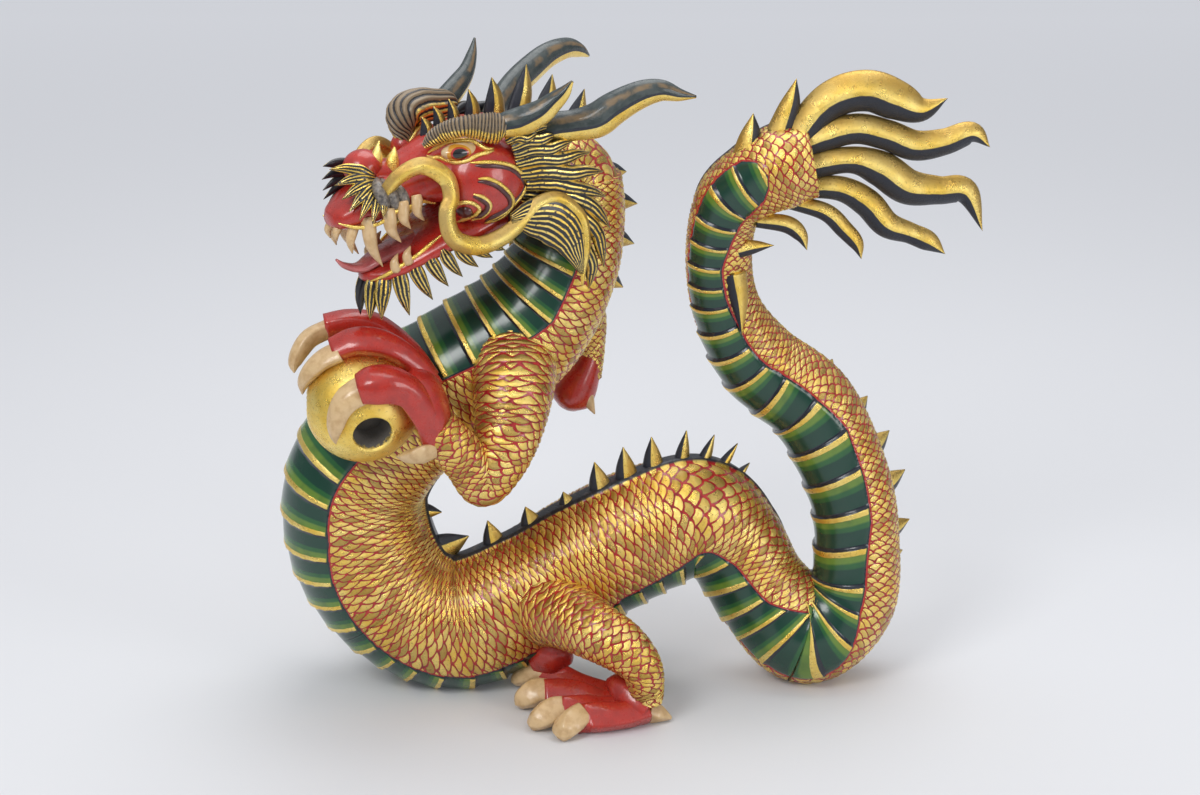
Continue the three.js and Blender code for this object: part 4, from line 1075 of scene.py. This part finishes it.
# %% Horns
LONG_HORN = [[-24, 24, 25, 8], [-35, 31, 30, 8.5], [-45, 36, 31.5, 8.5], [-55, 41, 34, 9.6],
             [-63, 44, 39.5, 9.2], [-72, 47, 44.5, 8.2],
             [-80.5, 50, 47.8, 7.2], [-88.5, 53, 48.6, 5.8], [-97, 56, 46, 3.6], [-106, 59, 44.5, 0.8]]
SHORT_HORN = [[3, 31, 34, 5], [-5, 35, 36, 7.2], [-12, 38, 37.8, 7.8], [-19.5, 43, 42, 6.9],
              [-25, 47, 47.5, 5.4], [-29.5, 51.5, 53.3, 3.6],
              [-32.5, 55, 59.5, 0.8]]
FAR_LONG_HORN = [[-22, 20, 24, 7], [-31, 27, 31, 8], [-45, 36, 39, 8.5], [-60, 43, 46, 8.5],
                 [-75, 49, 52, 7.5], [-90, 54, 54, 6],
                 [-101, 58, 51, 4], [-108, 60, 47, 1.0]]
FAR_SHORT_HORN = [[8, 30, 33, 6], [-4, 35, 37, 7.5], [-14, 40, 43, 7], [-22, 45, 49, 5.5],
                  [-28, 50, 57, 3.6], [-32, 54, 65, 0.8]]

def horn(rows):
    return gilded_by(sweep([[f, l, u, r * 0.8, r, 0, 0, 1] for f, l, u, r in rows], 60, 32, square=1.8),
                     1.0, 0.0)

horns = [horn(LONG_HORN), horn(SHORT_HORN), mirrored(horn(FAR_LONG_HORN)), mirrored(horn(FAR_SHORT_HORN))]
new_piece("horns", on_head(merged(horns)), horn_paint)

# %% Crest
CREST = [  # root f and u, tip f and u, half length at the root
    [25, 26, 28, 37, 4.5], [17, 29, 21, 42, 4.5], [9, 30, 12, 45, 4.5], [-2, 31, 0, 49, 5.5],
    [-15, 32, -14, 54, 7],
    [-29, 32, -35, 59, 7.5], [-44, 28, -51, 52, 7.5], [-60, 16, -71, 42, 8],
]
crest = [sweep([[f, 0, u - 2, 3.6, half, 1, 0, 0],
                [(f + tip_f) / 2 - 1, 0, (u + tip_u) / 2, 3.2, half * 0.75, 1, 0, 0],
                [tip_f, 0, tip_u, 0.3, 0.3, 1, 0, 0]],
                12, 12, square=1.2) for f, u, tip_f, tip_u, half in CREST]
new_piece("crest", on_head(gilded_by(merged(crest), -1.0, 0.0, 0.40)), two_faced)

# %% [markdown]
# ## Mane, beard and moustache
# Each lock is one leaf-shaped sweep that bends and ends in a point. They are laid side by side, so that
# each overlaps the next, as a carver cuts them.

# %% Locks of hair
def lock(root, tip, width, thick, bend=(0, 0, 0), up=(0, 1, 0), rings=18, sides=20):
    """A leaf-shaped lock: widest at a third of its length, curved by `bend` at its middle."""
    root, tip, bend = (np.asarray(p, float) for p in (root, tip, bend))
    shares = np.array([0.0, 0.3, 0.65, 1.0])
    widths = np.array([0.62, 1.0, 0.72, 0.04]) * width
    depths = np.array([0.8, 1.0, 0.7, 0.06]) * thick
    rows = [[*(root + (tip - root) * t + bend * 4 * t * (1 - t)), w, d, *up]
            for t, w, d in zip(shares, widths, depths)]
    return sweep(rows, rings, sides)

MANE = [  # root f, u; middle f, u; tip f, u; half width
    [-5, 27, -14, 28, -22, 29, 3.0], [-8, 23, -22, 25.5, -33, 26.5, 3.6],
    [-9, 19, -28, 20.5, -43.5, 22.5, 3.8],
    [-10, 14, -34, 14.5, -54, 15.5, 4.0], [-12, 8, -40, 6.0, -62.5, 4, 4.6],
    [-16, 2, -43, -2.5, -64, -10, 4.4],
    [-26, -3, -52, -12, -66.5, -27.5, 4.4], [-36, -8, -57, -28, -63, -49, 4.2],
    [-42, -20, -54, -45, -53.5, -60, 3.8],
    [-6, 31, -20, 31, -34, 31, 3.2], [-14, -4, -46, -16, -60, -36, 4.4],
]
OUTER_LOCKS = 9  # the rest of the table lies behind these
mane = []
for index, (f, u, mid_f, mid_u, tip_f, tip_u, width) in enumerate(MANE):
    depth = 3.4 if index < OUTER_LOCKS else 2.6
    outward = 0.0 if index < OUTER_LOCKS else -4.0
    rows = [[f, 33 + outward, u, width * 0.8, depth, 0, 1, 0],
            [0.5 * (f + mid_f), 36 + outward, 0.5 * (u + mid_u) + 1.5, width, depth, 0, 1, 0],
            [mid_f, 37 + outward, mid_u, width, depth, 0, 1, 0],
            [0.45 * mid_f + 0.55 * tip_f, 36.5 + outward, 0.45 * mid_u + 0.55 * tip_u + 0.8,
             width * 0.7, depth * 0.8, 0, 1, 0],
            [tip_f, 35 + outward, tip_u, 0.3, 0.3, 0, 1, 0]]
    mane.append(sweep(rows, 26, 24))
BEARD = [  # root f, l, u; tip f, l, u; width
    [59, 4, -45, 64, 6, -68, 4.5], [55, 8, -44, 60, 12, -67, 4.5], [50, 13, -41, 45, 15, -66, 4.5],
    [44, 17, -38, 33, 19, -58, 4.2],
    [37, 21, -34, 25, 22, -51, 4.0], [30, 25, -32, 18, 25, -46, 3.6], [23, 28, -31, 10, 28, -41, 3.4],
    [16, 30, -30, 3, 31, -36, 3.2],
    [8, 32, -28, -3, 34, -32, 3.0], [1, 34, -25, -7, 36, -28, 2.8],
]
beard = [lock((f, l, u + 3), (tip_f, tip_l, tip_u), width, 2.8, (1.5, 1.5, 0), (0.4, 1, 0))
         for f, l, u, tip_f, tip_l, tip_u, width in BEARD]
MOUSTACHE = [[84, 4, 16], [83, 8, 8], [81, 12, 1], [79, 16, -5], [75, 20, -9], [69, 23, -11], [63, 24, -8]]
moustache = [lock((62 - i * 0.8, 9, 11 - i * 1.6), tip, 3.6, 2.6, (0, 1, 2), (0.4, 1, 0.3))
             for i, tip in enumerate(MOUSTACHE)]
NAPE = {"centre": (-30, 0, 4), "sizes": (22, 29, 27)}
nape = egg(**NAPE, rings=40, sides=48)
curls = [limb([[60 - 3 * i, 9, 8 - i, 2.5], [62 - 6 * i, 17, 5 - i, 3.4], [60 - 6 * i, 19, -2 - i, 3.0],
               [58 - 6 * i, 18, -7, 0.8]], (0, 1, 0), rings=16, sides=16) for i in range(3)]
new_piece("lip_curls", both_sides(curls), grey_hair)
new_piece("hair", both_sides(mane + beard + moustache), gilded_hair)
new_piece("nape", on_head(nape), navy_paint)
print("head triangles so far:", sum(totals.values()))

# %% [markdown]
# ## Arms, claws and the ball
# The near arm folds at the elbow and its claw wraps over a gilded ball that is bored on two sides. The far
# arm hangs behind the neck and ends in a closed fist. Arms and legs carry the same scales as the flanks.

# %% Limbs with scales
LIMB_SCALE_DEPTH = 0.9

def scaled_limb(rows, rings, sides, angle_step, seed, up=(0, 0, 1)):
    """A limb whose surface carries the lattice of scales; it has no belly plates and no ridge."""
    def lattice(length, angle):
        turn = np.degrees(np.minimum(angle, 2 * np.pi - angle))
        return scale_lattice(length, turn, angle_step, seed)

    shape = limb(
        rows, up, rings=rings, sides=sides,
        relief=lambda length, angle: LIMB_SCALE_DEPTH * (scale_relief(*lattice(length, angle)) - 0.6))
    turn = np.arctan2(shape["values"]["flank"], shape["values"]["top"]) % (2 * np.pi)
    a, b = lattice(shape["values"]["length"], turn)
    nowhere = np.full(len(a), 50.0)
    shape["values"] = {"scale_a": a, "scale_b": b, "plate": 0 * a, "belly": -nowhere, "ridge": nowhere}
    return shape

# %% Arms
near_arm = scaled_limb([[-49, -8, 201, 26], [-48, -28, 187, 23], [-50, -42, 169, 19], [-56, -50, 153, 16],
                        [-64, -53, 142, 13], [-72, -58, 156, 13], [-81, -63, 169, 13], [-88, -64, 178, 12]],
                       220, 116, 32.0, 31)
far_arm = scaled_limb([[-20, 22, 226, 20], [-8, 40, 210, 12], [-5, 44, 190, 8], [-6, 44, 172, 7]],
                      80, 50, 36.0, 41, (0, 1, 0))
neck_bend = scaled_limb([[-14, 14, 284, 27.5], [-18, 12, 297, 26], [-28, 6, 303, 24.5], [-41, -2, 305, 22],
                         [-56, -10, 305, 19]],
                        60, 140, 20.0, 81, (1, 0, 0))
new_piece("arms", merged([near_arm, far_arm, neck_bend]), skin)
fist = limb([[-4, 44, 188, 6], [-8, 43, 178, 9], [-13, 42, 168, 12], [-17, 41, 160, 12], [-19, 41, 155, 6]],
            (0, 1, 0), rings=30, sides=32, square=1.7)
new_piece("far_fist", fist, red_lacquer)
new_piece("far_claw", limb([[-8, 38, 162, 5], [-3, 34, 153, 0.4]], (1, 0, 0)), cream_paint)

# %% Ball
BALL_AT = np.array([-128.0, -55.0, 188.0])
BALL_RADIUS = 31.0
BORES = [((0.26, -0.92, -0.28), 10.0), ((-1.0, -0.05, 0.0), 9.0)]
BORE_DEPTH = 18.0

def turned_to(shape, pole):
    """A form built around the upward axis from the origin, turned so that its top faces along `pole`."""
    pole = unit(np.asarray(pole, float))
    side = unit(np.cross(pole, [0.0, 1.0, 0.0]))
    return shape_of(shape["points"] @ np.array([side, np.cross(pole, side), pole]), shape["quads"],
                    shape["triangles"], shape["values"])

ball = turned_to(egg((0, 0, 0), (BALL_RADIUS,) * 3, 140, 140), BORES[0][0])
bored = np.zeros(len(ball["points"]))
for way, radius in BORES:
    way = unit(np.asarray(way))
    depth = ball["points"] @ way
    from_axis = np.linalg.norm(ball["points"] - depth[:, None] * way, axis=1)
    sunk = (depth > 0) * soft_step(from_axis, radius + 0.35, radius - 0.35)
    ball["points"] = ball["points"] - (sunk * BORE_DEPTH)[:, None] * way
    bored = np.maximum(bored, sunk)
ball["points"] = ball["points"] + BALL_AT
ball["values"] = {"bore": bored}

ball_paint, n, surface = new_material("gilded_bored_ball")
leaf = n.group(leaf_tree)
bore = n.ramp(n.math("ADD", n.number("bore"),
                     n.math("MULTIPLY", n.math("SUBTRACT", n.noise(500.0), 0.5), 0.5)), 0.12, 0.22)
n.link(n.mix(bore, leaf["Color"], (0.12, 0.110, 0.100)), surface["Base Color"])
n.link(n.math("MULTIPLY", n.math("SUBTRACT", 1.0, bore), 0.92), surface["Metallic"])
n.link(n.blend(bore, leaf["Roughness"], 0.7), surface["Roughness"])
n.link(n.bump(leaf["Height"], 0.0003, 0.8), surface["Normal"])
new_piece("ball", ball, ball_paint)

# %% [markdown]
# The claw is easiest to measure from the ball: to the right, up along the picture and towards the viewer.
# Each finger is an arch over the ball, with a soft ridge along its back and a long cream nail in front.

# %% Claw
CLAW_LEAN = np.radians(18)
CLAW_AXES = np.array([[1.0, 0.0, 0.0], [0.0, np.sin(CLAW_LEAN), np.cos(CLAW_LEAN)],
                      [0.0, -np.cos(CLAW_LEAN), np.sin(CLAW_LEAN)]])

def on_ball(rows, rings=40, sides=28, square=1.5):
    """A sweep through rows of [right, up, near, half width, half thickness] that turns its top away from
    the ball."""
    rows = np.asarray(rows, float)
    ways = rows[:, :3] @ CLAW_AXES
    return sweep(np.hstack([ways + BALL_AT, rows[:, 3:5], unit(ways)]), rings, sides, square=square)

FINGERS = [
    [[-21, 42, -9, 8.5, 7.5], [-9, 44, -10, 9, 8], [3, 43, -11, 9, 8], [14, 37, -11, 8.5, 7.5],
     [26, 27, -8, 7, 6.5], [36, 14, -4, 6, 6]],
    [[-14.5, 28.5, 13, 9.5, 7.5], [-3, 33, 13, 11, 8.5], [9, 32.5, 12, 11, 8.5], [20, 28, 10, 9, 7.5],
     [30, 20, 6, 7, 6.5], [40, 9, 3, 5, 5]],
    [[1, 8, 33, 8.5, 5], [8, 10, 33, 10.8, 7], [17, 10.5, 30, 11, 8], [26, 7, 25, 10, 7.5],
     [32, 0, 20, 10.5, 7.5], [36, -9, 15, 9.5, 7], [38, -22, 9, 6.5, 5.5]],
]
NAILS = [
    [[-19, 41, -9, 7, 5.5], [-28.6, 36, -6, 7.5, 5.5], [-34, 29, -4, 6.5, 5], [-37, 22, -3, 4, 3.5],
     [-37, 17, -2, 0.4, 0.4]],
    [[-11, 28, 15, 9.5, 6], [-20, 23.5, 15, 9, 5.5], [-26.5, 17.5, 13, 7, 5], [-30.5, 11.5, 10, 4.5, 3.5],
     [-31.5, 5.4, 8, 0.4, 0.4]],
    [[3.5, 8, 32.5, 8, 4], [-4.3, 3.2, 33, 7.4, 4], [-9.2, -3.2, 32, 6.4, 3.6], [-11.9, -11.3, 29, 5, 3],
     [-12.5, -17, 26, 2.8, 2.2], [-12, -21, 23.3, 0.3, 0.3]],
    [[39, -25, 10, 5, 4], [32, -27, 14, 7.5, 4.5], [25, -28, 13, 5, 3.5], [19, -28, 11, 0.4, 0.4]],
]
hand = on_ball([[24, 12, 16, 9, 7], [33, 6, 12, 14, 9.5], [38, -6, 8, 14, 9.5], [40, -18, 5, 10, 8]],
               30, 32, 2.2)
new_piece("claw", merged([on_ball(rows) for rows in FINGERS] + [hand]), red_lacquer)
new_piece("claw_nails", merged([on_ball(rows, 36, 24, 1.5) for rows in NAILS]), cream_paint)

# %% [markdown]
# ## Hind legs
# The near leg steps forward on a broad red foot: four toes with blunt cream nails and a nail at the
# heel. The far leg stands behind the belly.

# %% Legs
near_leg = scaled_limb([[-34, -4, 52, 26], [-20, -26, 54, 20], [-4, -44, 52, 17], [12, -54, 46, 15],
                        [23, -57, 35, 12],
                        [26, -55, 20, 10], [27, -56, 12, 8]], 220, 116, 34.0, 51)
far_leg = scaled_limb([[-44, 26, 50, 26], [-50, 50, 46, 20], [-56, 66, 34, 14], [-50, 72, 18, 10],
                       [-46, 72, 8, 9]],
                      110, 64, 26.0, 61)
new_piece("legs", merged([near_leg, far_leg]), skin)

# %% Feet
NEAR_TOES = [
    [[22, -50, 10, 8, 8], [6, -36, 9, 9, 7.5], [-10, -25, 9, 9, 8], [-24, -15, 11, 9, 9],
     [-33, -10, 12, 8, 8.5]],
    [[22, -52, 9, 8, 8], [4, -44, 7.5, 8.5, 7.5], [-10, -36, 8, 9.5, 9], [-22, -34, 8.5, 10, 9.5],
     [-32, -35, 9, 9, 9]],
    [[22, -54, 9, 8, 8], [4, -52, 7, 8.5, 8], [-8, -55, 8, 9, 9.5], [-16, -57, 8.5, 9.5, 9.5],
     [-22, -58, 9, 9, 9]],
    [[26, -56, 9, 9, 9], [14, -60, 7, 10, 9], [2, -62, 6.5, 12, 10], [-8, -64, 6.5, 11, 10],
     [-13, -67, 7.5, 9, 9]],
]
NEAR_NAILS = [
    [[-29, -12, 12, 8, 8], [-36, -9, 11, 8.5, 8.5], [-43, -8, 8, 8, 7.5], [-49, -8, 5, 4, 4],
     [-51, -8, 4, 0.5, 0.5]],
    [[-28, -34, 9, 9, 8.5], [-36, -34, 9, 10, 9], [-42, -36, 7, 9, 7.5], [-46, -38, 5, 5.5, 5],
     [-48, -39, 4, 0.5, 0.5]],
    [[-19, -57, 9, 9, 8.5], [-27, -59, 8.5, 10, 9], [-33, -63, 6.5, 9, 7.3], [-37, -66, 4.5, 5.5, 4.8],
     [-39, -68, 4, 0.5, 0.5]],
    [[-11, -65, 9, 8.5, 8.5], [-16, -71, 8, 9, 8.5], [-19, -76, 6, 8, 6.8], [-20, -80, 4.2, 5, 4.5],
     [-20, -82, 4, 0.5, 0.5]],
    [[27, -55, 7, 6, 7], [33, -54, 5, 5.5, 5.5], [40, -53, 2, 1, 1]],
]
WEBS = [  # the skin between the first toe and the thigh, and over the ankle
    [[-36, -8, 18, 8, 11], [-28, -13, 23, 9, 13], [-22, -16, 24, 8, 11], [-16, -19, 23, 2, 3]],
    [[4, -42, 19, 2, 3], [11, -46, 18, 8, 9], [20, -52, 12, 11, 11], [28, -56, 8, 11, 9]],
]
FAR_TOES = [[-94, 52], [-98, 68], [-90, 84]]

def toes_of(rows, square):
    """Swept toes or nails with an upright section; nothing goes below the floor."""
    shape = merged([sweep([[x, y, z, wide, high, 0, 0, 1] for x, y, z, wide, high in toe],
                          34, 24, square=square) for toe in rows])
    shape["points"][:, 2] = np.maximum(shape["points"][:, 2], 0.0)
    return shape

far_toes = [[[-46, 72, 9, 10, 10], [(x - 46) / 2, (72 + y) / 2, 9, 10, 9], [x + 12, y, 9, 9, 8.5],
             [x + 8, y, 8, 7, 7]] for x, y in FAR_TOES]
far_nails = [[[x + 10, y, 8, 7, 7], [x + 5, y, 7, 7, 6.5], [x + 1, y, 4, 4, 4],
              [x - 1, y, 3, 0.4, 0.4]] for x, y in FAR_TOES]
far_nails.append([[-42, 72, 8, 6, 6], [-34, 74, 3, 3, 3], [-32, 74, 2, 0.4, 0.4]])
feet = merged([toes_of(NEAR_TOES + far_toes, 1.2), toes_of(WEBS, 1.9)])
new_piece("feet", feet, red_lacquer)
new_piece("foot_nails", toes_of(NEAR_NAILS + far_nails, 1.3), cream_paint)

# %% [markdown]
# ## Spikes and the flame of the tail
# Spikes stand in a row on the ridge. At the end of the tail the wood opens into fronds that curl like
# flames.

# %% Ridge spikes
SPIKES = [  # distance along the spine, height, length at the root
    [3, 10, 10], [17, 15, 11], [33, 14, 11], [51, 13, 11], [72, 11, 10], [94, 10, 10], [118, 9, 9],
    [142, 8, 9],
    [166, 7, 8], [190, 6, 8], [251, 9, 9], [298, 17, 16], [386, 14, 12], [412, 11, 12], [434, 8, 10],
    [454, 17, 12], [467, 19, 12], [481, 18, 11], [490, 17, 8], [495, 15, 7], [499, 14, 6], [504, 8, 5],
    [627, 14, 12], [643, 16, 12], [660, 17, 13], [684, 17, 13], [704, 16, 13], [725, 14, 12], [748, 11, 11],
    [772, 9, 10], [798, 8, 9], [824, 8, 9], [858, 6, 8], [880, 6, 8],
]
SPIKE_SUNK = 3.0
SPIKE_LEAN = 0.3
spikes = []
for s, high, long in SPIKES:
    row = spine_at(np.array([s - 0.5, s, s + 0.5]))
    along, up, side = (v[1] for v in frames(row[:, :3], row[:, 4:7]))
    root = row[1, :3] + up * (row[1, 3] - SPIKE_SUNK)
    tip = root + up * (SPIKE_SUNK + high) + along * high * SPIKE_LEAN
    middle = 0.5 * (root + tip)
    spikes.append(sweep([[*root, 4.4, 0.62 * long, *along], [*middle, 3.2, 0.42 * long, *along],
                         [*tip, 0.3, 0.3, *along]],
                        12, 16, square=1.6))
new_piece("ridge_spikes", gilded_by(merged(spikes), 1.0, 0.0, 0.35), two_faced)

# %% Flame
FRONDS = [  # x, z and half width from the root to the tip
    [[104, 316, 9], [118, 337, 10], [131, 346, 11], [146, 348, 11.5], [160, 343, 11], [174, 338, 7],
     [188, 344, 0]],
    [[108, 318, 8], [136, 327, 8.5], [155, 324, 8.5], [171, 318, 8.5], [187, 320, 7.5], [202, 325, 6],
     [212, 317, 0]],
    [[110, 306, 8], [136, 310, 7.5], [153, 305, 10], [168, 295, 10], [185, 293, 8], [200, 292, 7],
     [210, 270, 0]],
    [[108, 295, 6], [131, 294, 7], [146, 286, 8], [157, 274, 7.5], [170, 269, 6], [181, 264, 5.5],
     [190, 257, 0]],
    [[102, 287, 4], [123, 281, 5], [134, 271, 5], [141, 263, 4], [144, 254, 0]],
    [[86, 276, 4], [102, 274, 5], [110, 268, 4], [114, 259, 0]],
    [[72, 258, 4.5], [84, 261, 4], [96, 262, 0]],
    [[74, 246, 7], [77, 230, 5], [79, 210, 0]],
    [[98, 325, 8], [103, 341, 5.5], [106, 355, 0]],
    [[80, 313, 8], [82, 325, 5.5], [83, 336, 0]],
]
fronds = [sweep([[x, 0, z, wide, wide * 0.75, 0, -1, 0] for x, z, wide in rows],
                70, 24, square=1.5) for rows in FRONDS]
new_piece("flame", gilded_by(merged(fronds), 0.30, -1.0, -0.12), two_faced)
print("triangles so far:", sum(totals.values()))

# %% Sizes and the count of triangles
low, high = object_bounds()
print("triangles in all:", sum(totals.values()))
